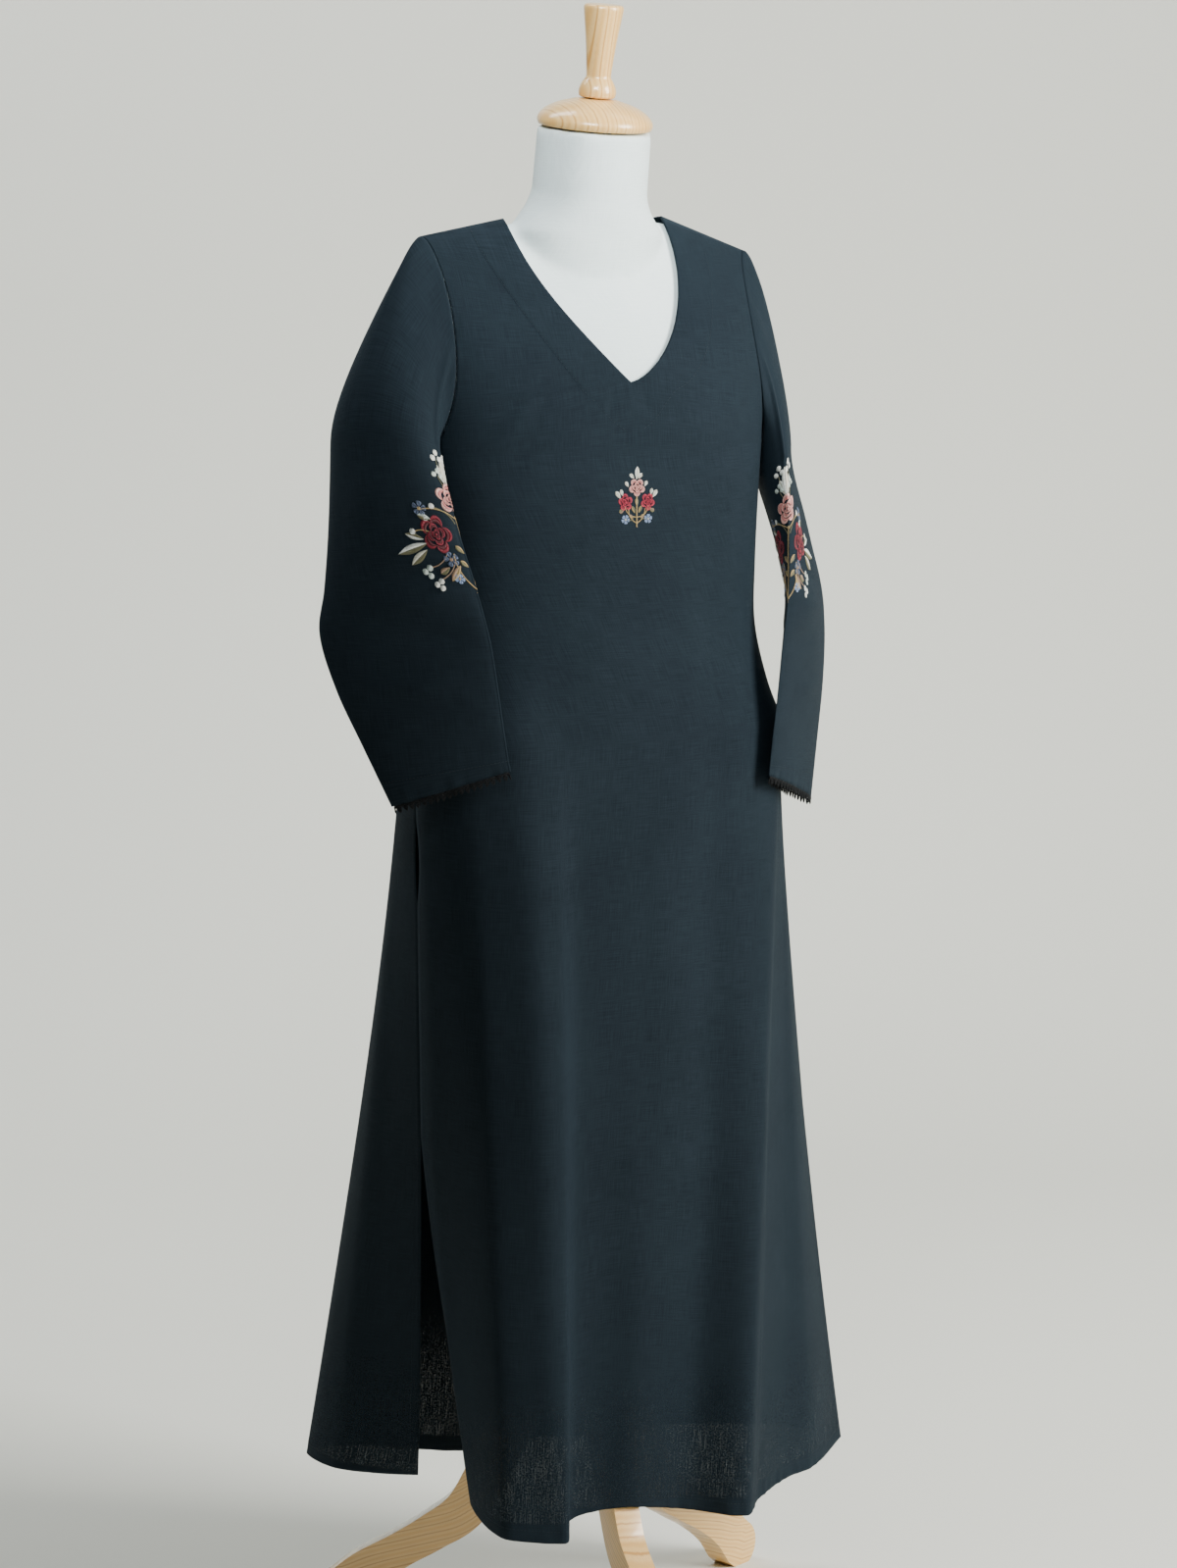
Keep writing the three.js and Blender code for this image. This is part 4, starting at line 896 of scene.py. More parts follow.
def buildFacing():
    look, top = facingLook, garment["pointRow"]
    beside = np.linspace(top, garment["yokeRows"], look["neckRows"])
    rows = np.concatenate([np.linspace(1, top, look["pointRows"]), beside[1:]])
    points, quads, lines, count = [], [], {}, 0
    for side in ("right", "left"):
        edge, arm = frontYoke(side, rows, 0.0), frontYoke(side, rows, 1.0)
        share = (facingReach(rows) / np.abs(arm[:, 0] - edge[:, 0]))[:, None]
        lines[side] = frontYoke(side, rows[:, None], share * np.linspace(0, 1, look["steps"] + 1)[None, :])
        patch = lines[side][:, ::-1] if side == "right" else lines[side]
        points.append(patch.reshape(-1, 3))
        quads.append(gridQuads(gridIds(patch, count)))
        count += len(points[-1])
    points, quads = np.concatenate(points), np.concatenate(quads)
    normals = vertexNormals(points, quads)
    seamRow = np.abs(points[:, 1]) < 0.2
    normals[seamRow] = normals[seamRow] * [1, 0, 1] + [0, 0, 0.5]
    points = points - unit(normals) * (garment["clothThick"] + look["behind"])
    return clothShell("neckFacingCloth", points, quads, points[:, [0, 2]] / 1000, look["wall"], cotton), lines


facing, facingLines = buildFacing()


pocketLook = {
    "around": 40, "lengths": 26, "behind": 5.3, "halfThick": 2.2, "wall": 0.7,
    "half": (44, 78), "middle": (822, 792), "from": 0.012, "reach": 0.26, "step": 0.02,
}


# A flat bag: an outer and an inner tube, joined at the mouth and closed at the far end
def buildPocket():
    look, around = pocketLook, pocketLook["around"]
    angle = np.arange(around) / around * 2 * np.pi
    layers = []
    for shrink in (0.0, look["wall"]):
        t = np.linspace(0, 1 - shrink * 0.02, look["lengths"] + 1)[:, None]
        half = mix(*look["half"], smooth(t)) - shrink
        z = mix(*look["middle"], smooth(t)) + half * np.cos(angle)[None, :]
        down = (garment["hip"] - z) / (garment["hip"] - garment["hem"])
        share = np.broadcast_to(look["from"] + look["reach"] * t, z.shape)
        point = skirtPoint(front, share, down)
        beside = skirtPoint(front, share + look["step"], down) - point
        inward = unit(np.stack([-beside[..., 1], beside[..., 0], 0 * z], -1))
        deep = look["behind"] - (look["halfThick"] - shrink) * np.sin(angle)
        layers.append(point + inward * np.broadcast_to(deep, z.shape)[..., None])
    ids = gridIds(layers[0])
    count = ids.size
    faces = gridQuads(ids, closed=True)[:, ::-1].tolist() + (gridQuads(ids, closed=True) + count).tolist()
    for m in range(around):
        n = (m + 1) % around
        faces.append([m, n, count + n, count + m])
    last = ids[-1].tolist()
    faces += [last, [count + k for k in reversed(last)]]
    points = np.concatenate([layer.reshape(-1, 3) for layer in layers])
    mesh = bpy.data.meshes.new("pocketBagCloth")
    mesh.from_pydata(toFrame(points).tolist(), [], faces)
    layer = mesh.uv_layers.new(name="cloth")
    corner = np.array([loop.vertex_index for loop in mesh.loops])
    layer.data.foreach_set("uv", (points[corner][:, [0, 2]] / 1000).astype(np.float32).ravel())
    work = bmesh.new()
    work.from_mesh(mesh)
    bmesh.ops.recalc_face_normals(work, faces=work.faces)
    work.to_mesh(mesh)
    work.free()
    return newObject("pocketBagCloth", mesh, cotton)


pocket = buildPocket()
print("facing and pocket built")

# Cuff lace

laceLook = {"picots": 38, "height": 8.6, "wide": 1.275, "tint": (0.006, 0.007, 0.009)}


def onRing(ring, shares):
    closed = np.concatenate([ring, ring[:1]])
    lengths = arcLength(closed)
    return np.stack([np.interp(shares * lengths[-1], lengths, closed[:, k]) for k in range(3)], -1)


def buildLace(side, rings):
    edge, above = rings[-1], rings[-3]
    centre = edge.mean(0)
    rand = random.Random(7)
    strands, count, wide = [], laceLook["picots"], laceLook["wide"]
    for k in range(count):
        shares = np.mod((np.array([0, 0.18, 0.5, 0.82, 1]) + k) / count, 1)
        base = onRing(edge, shares)
        downward = unit(base - onRing(above, shares))
        outward = base - centre
        outward[:, 2] = 0
        outward = unit(outward)
        base = base - outward * 0.5
        tall = laceLook["height"] * rand.uniform(0.86, 1.0)
        lean = rand.uniform(-0.8, 0.8)
        path = base + downward * np.array([0.4, 3.2, tall, 3.2, 0.4])[:, None]
        path[2] += (base[4] - base[0]) * 0.1 * lean + outward[2] * rand.uniform(-0.5, 0.4)
        middle = (path[1] + path[3]) / 2
        knots = [*path, middle]
        for m, n in ((0, 1), (1, 2), (2, 3), (3, 4), (0, 3), (1, 4), (1, 3), (5, 2), (0, 4)):
            if np.linalg.norm(knots[n] - knots[m]) > 0.1:
                strands.append((knots[m], knots[n], outward[2], wide, wide, laceLook["tint"]))
    return layStrands(side + "CuffLace", strands, laceThread, sides=6, segments=3, arch=0.12)


laces = {side: buildLace(side, rings) for side, rings in sleeveForm.items()}
print("cuff lace built")

# Stand: wood, linen form


# Rounds the corners of an open line of points, twice
def rounder(points):
    points = np.array(points, float)
    for _ in range(2):
        inner = np.stack([mix(points[:-1], points[1:], 0.25), mix(points[:-1], points[1:], 0.75)], 1)
        points = np.concatenate([points[:1], inner.reshape(-1, 2)[1:-1], points[-1:]])
    return points


standLook = {
    "neckFoot": 1400, "neckLean": (6, 2), "capFoot": 148.3, "finialFoot": 178.6, "sides": 96,
    "board": 27, "edge": 2.2, "hubReach": 32.3, "legSteps": 57, "clubSteps": 24,
}


def neckMatrix(up):
    matrix = Matrix.Translation((0, 0, standLook["neckFoot"]))
    for angle, axis in zip(standLook["neckLean"], "XY"):
        matrix = matrix @ Matrix.Rotation(math.radians(angle), 4, axis)
    return matrix @ Matrix.Translation((0, 0, up))


def meshFrom(work, name):
    mesh = bpy.data.meshes.new(name)
    work.to_mesh(mesh)
    work.free()
    return mesh


# Sets a wooden mesh in place by its matrix, with the grain running along its own axes
def placeWood(mesh, grain, matrix, sharp):
    pointVectors(mesh, "grain", grain / 1000)
    place = np.array([matrix @ v.co for v in mesh.vertices])
    mesh.vertices.foreach_set("co", toFrame(place).astype(np.float32).ravel())
    obj = newObject(mesh.name, mesh, wood)
    mesh.set_sharp_from_angle(angle=math.radians(sharp))
    return obj


# Lathe-turned piece; the grain runs up its axis
def turned(name, profile, matrix):
    work = bmesh.new()
    rings, sides = [], standLook["sides"]
    for radius, height in profile:
        around = [0] if radius < 0.01 else np.arange(sides) / sides * 2 * np.pi
        rings.append([work.verts.new((radius * math.cos(a), radius * math.sin(a), height)) for a in around])
    for low, high in zip(rings, rings[1:]):
        for k in range(sides):
            n = (k + 1) % sides
            corners = [low[k % len(low)], low[n % len(low)], high[n % len(high)], high[k % len(high)]]
            work.faces.new(list(dict.fromkeys(corners)))
    bmesh.ops.recalc_face_normals(work, faces=work.faces)
    mesh = meshFrom(work, name)
    return placeWood(mesh, np.array([v.co for v in mesh.vertices]), matrix, 40)


capProfile = [(0, 0), (55, 0), (58, 5), (57.5, 10), (52, 17), (40, 24), (24, 28.5), (18, 30), (0, 30)]
finialProfile = [(0, 0), (17.5, 0), (19, 5), (18.2, 11), (15, 17), (12.3, 20.5), (12.3, 24), (15.2, 54),
                 (19.6, 85), (20, 89), (18.6, 92), (12, 92), (0, 92)]
hubProfile = [(0, 214), (29, 214), (31, 215), (32, 217), (32, 322), (30, 326), (24, 330), (0, 330)]
baseProfile = [(0, 737.7), (76, 737.7), (77.4, 738.3), (78, 739.7), (78, 748.5), (77, 749.7), (0, 749.7)]
neckCap = turned("neckCapTurned", rounder(capProfile), neckMatrix(standLook["capFoot"]))
finial = turned("finialTurned", rounder(finialProfile), neckMatrix(standLook["finialFoot"]))
hub = turned("hubTurned", hubProfile, Matrix.Identity(4))
basePlate = turned("basePlateTurned", baseProfile, Matrix.Identity(4))

leg = {
    "r": [33, 62, 90, 120, 157, 194, 230, 256], "z": [268, 240, 180, 124, 95, 72, 48, 22],
    "deep": [24, 24, 23, 22, 20, 19, 22, 26],
}


def buildLeg(name, azimuth):
    first, last = leg["r"][0], leg["r"][-1]
    reach = np.linspace(first, last, standLook["legSteps"])
    ahead, behind = np.minimum(reach + 1, last), np.maximum(reach - 1, first)
    slope = along(leg, "r", ahead, "z") - along(leg, "r", behind, "z")
    tangent = unit(np.stack([2 + 0 * slope, slope], -1))
    deep = along(leg, "r", reach, "deep")[:, None]
    middle = np.stack([reach, along(leg, "r", reach, "z")], -1)
    across = np.stack([-tangent[:, 1], tangent[:, 0]], -1)
    upper, lower = middle + across * deep, middle - across * deep
    foot = middle[-1]
    start = math.atan2(*(upper[-1] - foot)[::-1])
    turn = start - np.arange(1, standLook["clubSteps"]) / standLook["clubSteps"] * math.pi
    club = foot + leg["deep"][-1] * np.stack([np.cos(turn), np.sin(turn)], -1)
    outline = np.concatenate([upper, club, lower[::-1]])
    outline[:, 0] = np.maximum(outline[:, 0], standLook["hubReach"])
    outline[:, 1] = np.maximum(outline[:, 1], 0)
    outline = outline[np.linalg.norm(np.diff(outline, axis=0, append=outline[:1]), axis=1) > 0.3]
    half = standLook["board"] / 2
    work = bmesh.new()
    side = work.faces.new([work.verts.new((x, -half, z)) for x, z in outline])
    made = bmesh.ops.extrude_face_region(work, geom=[side])["geom"]
    corners = [v for v in made if isinstance(v, bmesh.types.BMVert)]
    bmesh.ops.translate(work, vec=(0, 2 * half, 0), verts=corners)
    bmesh.ops.recalc_face_normals(work, faces=work.faces)
    rims = [e for e in work.edges if abs(e.verts[0].co.y - e.verts[1].co.y) < 1e-6]
    bmesh.ops.bevel(work, geom=rims, offset=standLook["edge"], segments=3, profile=0.6, affect="EDGES",
                    clamp_overlap=True)
    bmesh.ops.triangulate(work, faces=[f for f in work.faces if len(f.verts) > 4])
    mesh = meshFrom(work, name)
    local = np.array([v.co for v in mesh.vertices])
    line = np.interp(local[:, 0], reach, middle[:, 1])  # the bands follow the bend
    grain = np.stack([local[:, 2] - 0.45 * line, local[:, 1], local[:, 0]], -1)
    return placeWood(mesh, grain, Matrix.Rotation(math.radians(azimuth), 4, "Z"), 50)


legs = {"leg_left": buildLeg("leftLegBoard", 24), "leg_right": buildLeg("rightLegBoard", 144),
        "leg_front": buildLeg("frontLegBoard", -96)}
nodes["pole"].data.materials.clear()
nodes["pole"].data.materials.append(steel)
print("wooden stand built")

torsoTable = {
    "z": [750, 850, 950, 1040, 1120, 1195, 1235], "half": [140, 158, 138, 118, 138, 156, 160],
    "front": [94, 100, 92, 84, 102, 112.8, 109.4], "back": [92, 96, 84, 74, 88, 99, 101.4],
    "seam": [0] * 7, "left": [0] * 7,
}
neckTable = {
    "up": [-50, 0, 48, 58, 70, 84, 148], "wide": [50, 76, 80, 72, 63, 57.5, 56.5],
    "deep": [42, 56, 57, 57.5, 58, 57.5, 56.5],
}
torsoLook = {
    "under": 5.6, "shoulder": 167, "rightDrop": 8, "around": 96, "step": 12, "yokeRows": 26,
    "voxel": 0.0038, "smoothing": 6,
}


def bridge(work, rings):
    made = [[work.verts.new(toFrame(p)) for p in ring] for ring in rings]
    for low, high in zip(made, made[1:]):
        for k in range(len(low)):
            n = (k + 1) % len(low)
            work.faces.new((low[k], low[n], high[n], high[k]))
    work.faces.new(made[0][::-1])
    work.faces.new(made[-1])


def buildTorso():
    turn = np.arange(torsoLook["around"]) / torsoLook["around"]
    isFront = turn < 0.5
    u = np.where(isFront, turn * 2, 2 - turn * 2)
    top = torsoTable["z"][-1]

    def around(frontRing, backRing):
        return np.where(isFront[:, None], frontRing, backRing)

    rings = [around(ringPoint(torsoTable, -1, u, z), ringPoint(torsoTable, 1, u, z))
             for z in np.arange(torsoTable["z"][0], top - 5, torsoLook["step"])]
    for up in np.sin(np.linspace(0, 1, torsoLook["yokeRows"]) * np.pi / 2):
        sides = []
        for panel in (front, back):
            base = ringPoint(torsoTable, panel["face"], u, top)
            x = base[:, 0] * mix(1, torsoLook["shoulder"] / torsoTable["half"][-1], smooth(up))
            drop = torsoLook["rightDrop"] * smooth((-x - 110) / 60)
            height = shoulderHeight(front, x) - torsoLook["under"] - drop
            depth = max(math.cos(up * math.pi / 2), 0) ** (garment["ridge"] - backRounding(panel, x))
            sides.append(np.stack([x, base[:, 1] * depth, mix(top, height, up)], -1))
        rings.append(around(*sides))
    work = bmesh.new()
    bridge(work, rings)
    knots = np.arange(0, len(neckTable["up"]) - 0.9, 0.25)
    necks = zip(*(np.interp(knots, range(len(values)), values) for values in neckTable.values()))
    angles = turn * 2 * np.pi
    bridge(work, [[neckMatrix(up) @ Vector((wide * math.cos(a), deep * math.sin(a), 0)) for a in angles]
                  for up, wide, deep in necks])
    bmesh.ops.remove_doubles(work, verts=work.verts, dist=0.00002)
    mesh = meshFrom(work, "torsoLinen")
    obj = newObject("torsoLinen", mesh, linen)
    remesh = obj.modifiers.new("remesh", "REMESH")
    remesh.mode, remesh.voxel_size, remesh.use_smooth_shade = "VOXEL", torsoLook["voxel"], True
    soft = obj.modifiers.new("soft", "SMOOTH")
    soft.factor, soft.iterations = 0.5, torsoLook["smoothing"]
    finished = bpy.data.meshes.new_from_object(obj.evaluated_get(bpy.context.evaluated_depsgraph_get()))
    obj.modifiers.clear()
    obj.data = finished
    finished.name = "torsoLinen"
    if not finished.materials:
        finished.materials.append(linen)
    finished.shade_smooth()
    return obj


torso = buildTorso()
print("torso built", len(torso.data.polygons))

# Embroidery

threadColours = {
    "white": (0.74, 0.76, 0.70), "cream": (0.62, 0.60, 0.50), "mint": (0.56, 0.64, 0.58),
    "pink": (0.83, 0.47, 0.40), "pinkDeep": (0.62, 0.22, 0.20), "crimson": (0.60, 0.035, 0.08),
    "crimsonDark": (0.26, 0.010, 0.03), "wine": (0.27, 0.010, 0.028), "wineDark": (0.10, 0.005, 0.012),
    "tan": (0.28, 0.18, 0.11), "gold": (0.42, 0.30, 0.12), "olive": (0.16, 0.15, 0.07),
    "blue": (0.24, 0.33, 0.52), "slate": (0.07, 0.10, 0.17),
}
embroideryLook = {"pitch": 0.5, "wide": 0.62, "tall": 0.5, "lift": 0.25, "layer": 0.28}


def heading(angle):
    return np.array([math.cos(angle), math.sin(angle)])


class Motif:
    def __init__(self, seed):
        self.rand = random.Random(seed)
        self.stitches = []

    def add(self, a, b, colour, layer=0):
        shade = self.rand.uniform(0.86, 1.12)
        tint = tuple(min(c * shade, 1) for c in threadColours[colour])
        self.stitches.append((a, b, layer, tint))

    def leaf(self, foot, tip, wide, left, right=None, layer=0):
        foot, tip = np.array(foot, float), np.array(tip, float)
        run = tip - foot
        length = np.hypot(*run)
        run /= length
        side = leftOf(run)
        count = max(int(length / embroideryLook["pitch"]), 3)
        for k in range(count):
            t = (k + 0.5) / count
            half = wide / 2 * math.sin(math.pi * min(t ** 0.8, 1)) + 0.15
            spine = foot + run * length * t * 0.94
            for sign, colour in ((1, left), (-1, right or left)):
                self.add(spine, spine + side * sign * half + run * half * 0.75, colour, layer)

    def petal(self, centre, angle, spread, near, thick, inner, outer, layer=0):
        centre = np.array(centre, float)
        count = max(int(spread * (near + thick / 2) / embroideryLook["pitch"]), 4)
        for k in range(count):
            q = (k + 0.5) / count
            a = angle + (q - 0.5) * spread
            bow = math.sin(math.pi * q)
            low = near * (0.92 + 0.10 * bow)
            high = low + thick * bow ** 0.55
            direction = heading(a)
            middle = mix(low, high, self.rand.uniform(0.4, 0.6))
            self.add(centre + direction * low, centre + direction * middle, inner, layer)
            self.add(centre + direction * (middle - 0.2), centre + direction * high, outer, layer)

    def rose(self, centre, rx, ry, dark, light, turn=0.3):
        first = len(self.stitches)
        for petals, near, thick, start in ((5, 0.60, 0.38, 0), (4, 0.33, 0.25, 0.7), (3, 0.12, 0.19, 1.5)):
            spread = 2 * math.pi / petals
            for k in range(petals):
                self.petal((0, 0), turn + start + k * spread, spread * 0.97, near * rx, thick * rx,
                           dark, light, layer=int(near < 0.5))
        for k in range(5):
            self.add(heading(k * 1.3) * rx * 0.1, heading(k * 1.3) * rx * -0.08, light, 2)
        centre, stretch = np.array(centre, float), np.array([1, ry / rx])
        self.stitches[first:] = [(a * stretch + centre, b * stretch + centre, layer, tint)
                                 for a, b, layer, tint in self.stitches[first:]]

    def berry(self, centre, radius, colour):
        centre = np.array(centre, float)
        lean = self.rand.uniform(0.4, 1.1)
        lengthwise = heading(lean)
        side = leftOf(lengthwise)
        for offset in np.arange(-radius + 0.25, radius, embroideryLook["pitch"]):
            half = math.sqrt(max(radius ** 2 - offset ** 2, 0.05))
            middle = centre + side * offset
            self.add(middle - lengthwise * half, middle + lengthwise * half, colour, 1)

    def stem(self, points, colour, wide=1.1):
        points = np.array(points, float)
        line = arcLength(points)
        for at in np.arange(0.3, line[-1], embroideryLook["pitch"] * 1.1):
            here, ahead = (np.array([np.interp(s, line, points[:, k]) for k in range(2)])
                           for s in (at, at + 0.5))
            run = ahead - here
            run /= max(np.hypot(*run), 1e-6)
            side = leftOf(run)
            self.add(here - side * wide / 2 - run * 0.5, here + side * wide / 2 + run * 0.5, colour, 0)

    def bloom(self, centre, radius, colour, heart, petals=5, turn=0.3):
        centre = np.array(centre, float)
        for k in range(petals):
            out = heading(turn + k * 2 * math.pi / petals) * radius
            self.leaf(centre + out * 0.18, centre + out, radius * 0.72, colour)
        self.berry(centre, radius * 0.24, heart)

    def berries(self, places, radius, colour):
        for place in places:
            self.berry(place, radius, colour)

    def sprig(self, foot, tip, places, radius, colour, stemColour):
        self.stem([foot, tip], stemColour, 0.7)
        self.berries(places, radius, colour)


def curved(a, b, bow):
    a, b = np.array(a, float), np.array(b, float)
    t = np.linspace(0, 1, 12)[:, None]
    return mix(a, b, t) + leftOf(b - a) * bow * 4 * t * (1 - t)


def chestMotif():
    m = Motif(11)
    for sign in (-1, 1):
        m.stem(curved((0, -26), (sign * 9, -12), sign * -0.16), "gold")
        m.stem(curved((0, -20), (sign * 13, -9), sign * -0.2), "gold", 0.9)
        m.leaf((sign * 2, -16), (sign * 5.5, -8.5), 3.2, "gold", "olive")
        m.leaf((sign * 4, -21), (sign * 8.5, -17.5), 3.0, "gold", "tan")
        m.leaf((sign * 18, -1), (sign * 23, 6.5), 4.2, "cream", "white")
        m.leaf((sign * 15.5, 1.5), (sign * 17.5, 8), 3.4, "cream", "mint")
        m.leaf((sign * 14, -12), (sign * 19.5, -15), 4, "tan", "olive")
        m.leaf((sign * 9, 10), (sign * 12, 15.5), 3.4, "cream", "white")
        m.bloom((sign * 12.5, -22), 4.6, "blue", "cream", turn=0.2 * sign)
        m.stem(curved((sign * 4, -22), (sign * 10, -23), 0.1), "olive", 0.8)
        m.leaf((sign * 2.4, 18), (sign * 7, 23), 3.6, "white", "cream")
        m.rose((sign * 12.3, -5.2), 8.0, 8.8, "crimsonDark", "crimson", 0.4 if sign < 0 else 1.0)
    m.stem([(0, -30), (0, -14), (0.2, 0)], "gold", 1.5)
    m.leaf((0, -9), (0, -1), 3.6, "gold", "olive")
    m.leaf((0.5, 17), (2.2, 30.5), 4.8, "white", "cream")
    m.rose((0.6, 9.2), 9.2, 9.2, "pinkDeep", "pink", 0.9)
    return m.stitches


# One sleeve's spray lies over the crease; x is outward from the crease and y up the arm
def sleeveMotif():
    m = Motif(23)
    for sign in (1, -1):
        m.sprig((sign * 3, 40), (sign * 8, 62), [(sign * 7, 69), (sign * 3.2, 63.5), (sign * 10.8, 63)],
                2.9, "white", "olive")
        m.sprig((sign * 4, 36), (sign * 9, 46), [(sign * 8, 51), (sign * 12.5, 47), (sign * 5.4, 46.5)],
                2.6, "mint", "olive")
        m.stem(curved((0, 5), (sign * 34, 11), sign * 0.12), "gold", 1.1)
        m.bloom((sign * 35, 12), 7.2, "slate", "gold", turn=0.5)
        m.stem(curved((sign * 2, 0), (sign * 22, 14), sign * 0.15), "olive", 1.0)
        m.berry((sign * 22, 15), 2.8, "white")
        m.leaf((sign * 26, 2), (sign * 39, 6), 6.4, "mint", "olive")
        m.leaf((sign * 28, 4), (sign * 33, 1), 4.4, "white", "mint")
        m.stem(curved((sign * 30, -10), (sign * 46, -10), sign * 0.1), "gold", 1.0)
        m.berry((sign * 47.5, -10), 3.0, "white")
        m.leaf((sign * 38, -17), (sign * 57, -12), 6.0, "olive", "white")
        m.leaf((sign * 36, -21), (sign * 70, -32), 8.0, "white", "olive")
        m.leaf((sign * 37, -27), (sign * 58, -42), 7.2, "cream", "olive")
        m.stem(curved((sign * 18, -30), (sign * 40, -44), sign * -0.12), "tan", 1.1)
        m.berries([(sign * 40, -44), (sign * 45.5, -47.5), (sign * 41, -51.5)], 3.1, "mint")
        m.stem(curved((sign * 12, -36), (sign * 33, -56), sign * -0.12), "tan", 1.1)
        m.berries([(sign * 32, -57), (sign * 37, -60), (sign * 32.5, -63.5)], 2.9, "white")
        m.leaf((sign * 20, -44), (sign * 31, -50), 6.4, "tan", "olive")
        m.leaf((sign * 9, -42), (sign * 22, -58), 6.6, "tan", "gold")
        m.bloom((sign * 16, -36), 7.6, "slate", "tan", turn=0.1)
        m.bloom((sign * 13.5, -55), 5.0, "blue", "gold", turn=0.9)
        m.leaf((sign * 1.5, -30), (sign * 9, -22), 5.0, "gold", "olive")
        m.leaf((sign * 1.5, -44), (sign * 8, -37), 5.0, "gold", "olive")
        m.stem(curved((0, -66), (sign * 12, -30), sign * -0.12), "gold", 1.4)
        m.rose((sign * 24, -12), 15.5, 19, "wineDark", "wine", 0.6 if sign > 0 else 1.2)
    m.stem(curved((0, -70), (0, 8), 0.03), "gold", 2.0)
    m.leaf((0, 40), (0, 70), 8.5, "white", "cream")
    m.leaf((2, 40), (7.5, 58), 6, "cream", "white")
    m.leaf((-2, 40), (-7.5, 58), 6, "cream", "white")
    m.rose((0, 25), 15.5, 16, "pinkDeep", "pink", 0.35)
    return m.stitches


# A chart takes flat coordinates in millimetres to the cloth's surface
class Chart:
    def __init__(self, rows, centre, originRow):
        self.rows = rows
        self.across = acrossRows(rows, centre)
        up = arcLength(rows[:, centre])
        self.up = up - up[originRow]

    def at(self, x, y):
        i = int(np.clip(np.searchsorted(self.up, y) - 1, 0, len(self.up) - 2))
        t = (y - self.up[i]) / (self.up[i + 1] - self.up[i])
        ends = [np.array([np.interp(x, self.across[k], self.rows[k, :, axis]) for axis in range(3)])
                for k in (i, i + 1)]
        return mix(*ends, t)

    def normal(self, x, y):
        return np.cross(self.at(x + 1, y) - self.at(x - 1, y), self.at(x, y + 1) - self.at(x, y - 1))


def embroider(name, stitches, chart, inside=1):
    strands, look = [], embroideryLook
    for a, b, layer, tint in stitches:
        start, end = chart.at(*a), chart.at(*b)
        if np.linalg.norm(end - start) < 0.3:
            continue
        outward = chart.normal(*((np.array(a) + np.array(b)) / 2))
        outward *= inside / np.linalg.norm(outward)
        lift = outward * (look["lift"] + look["layer"] * layer)
        strands.append((start + lift, end + lift, outward, look["wide"], look["tall"], tint))
    return layStrands(name, strands, silkThread, sides=5, segments=2, arch=0.7)


chestLook = {"low": 1120, "high": 1236, "half": 60, "step": 2.0, "centre": 1190}
armLook = {"low": 0.62, "rows": 125, "turns": (0.12, 1.88), "columns": 161, "centre": 1168}


def chestChart():
    heights = np.arange(chestLook["low"], chestLook["high"], chestLook["step"])
    x = np.arange(-chestLook["half"], chestLook["half"] + 0.1, chestLook["step"])[None, :]
    half, reach, seam = (along(body, "z", heights, name)[:, None] for name in ("half", "front", "seam"))
    depth = (1 - (np.abs(x) / half) ** garment["squareness"]) ** (1 / garment["squareness"])
    across, up = np.broadcast_to(x, depth.shape), np.broadcast_to(heights[:, None], depth.shape)
    rows = np.stack([across, seam - (reach + seam) * depth, up], -1)
    return Chart(rows, x.size // 2, int(np.argmin(np.abs(heights - chestLook["centre"]))))


def armChart(side):
    downs = np.linspace(armLook["low"], 0.0, armLook["rows"])
    rows = sectionPoint(side, downs[:, None], np.linspace(*armLook["turns"], armLook["columns"])[None, :])
    crease = along(sleeveTable, "down", downs, "fz")
    return Chart(rows, armLook["columns"] // 2, int(np.argmin(np.abs(crease - armLook["centre"]))))


embroidery = {"chest": embroider("chestEmbroidery", chestMotif(), chestChart())}
for side, inside in (("right", -1), ("left", 1)):
    embroidery[side] = embroider(side + "SleeveEmbroidery", sleeveMotif(), armChart(side), inside)
print("embroidery laid")

# Seam and hem stitches

stitchLook = {
    "run": 2.6, "gap": 1.2, "wide": 0.42, "tall": 0.34, "tint": (0.012, 0.017, 0.022),
    "hem": 12.5, "cuff": 10,
}


def stitchLine(line, outward):
    look, lengths, strands = stitchLook, arcLength(line), []
    for at in np.arange(0.6, lengths[-1] - look["run"], look["run"] + look["gap"]):
        ends = [np.array([np.interp(s, lengths, line[:, k]) for k in range(3)])
                for s in (at, at + look["run"])]
        up = np.array([np.interp(at, lengths, outward[:, k]) for k in range(3)])
        strands.append((ends[0] + up * 0.1, ends[1] + up * 0.1, up, look["wide"], look["tall"], look["tint"]))
    return strands


def sew(name, lines):
    strands = [strand for line, outward in lines for strand in stitchLine(line, outward)]
    return layStrands(name, strands, sewingThread, sides=4, segments=2, arch=0.3)


# The hem's line, and one along each slit
def panelStitches(name, points, quads):
    normals = vertexNormals(points, quads)
    levels, columns = panelLevels(), panelGrid["columns"] + 1
    grid, outward = (values[:len(levels) * columns].reshape(-1, columns, 3) for values in (points, normals))
    heights = (garment["hem"] + stitchLook["hem"], garment["slitTop"])
    row, top = (int(np.argmin(np.abs(levels - z))) for z in heights)
    slits = [(grid[:top, column], outward[:top, column]) for column in (2, columns - 3)]
    return sew(name, [(grid[row], outward[row]), *slits])


def facingStitches():
    lines = []
    for side, hand in (("right", 1), ("left", -1)):
        grid = facingLines[side]
        line = grid[:, -1]
        lines.append((line, hand * unit(np.cross(np.gradient(line, axis=0), line - grid[:, -2]))))
    return sew("facingStitches", lines)


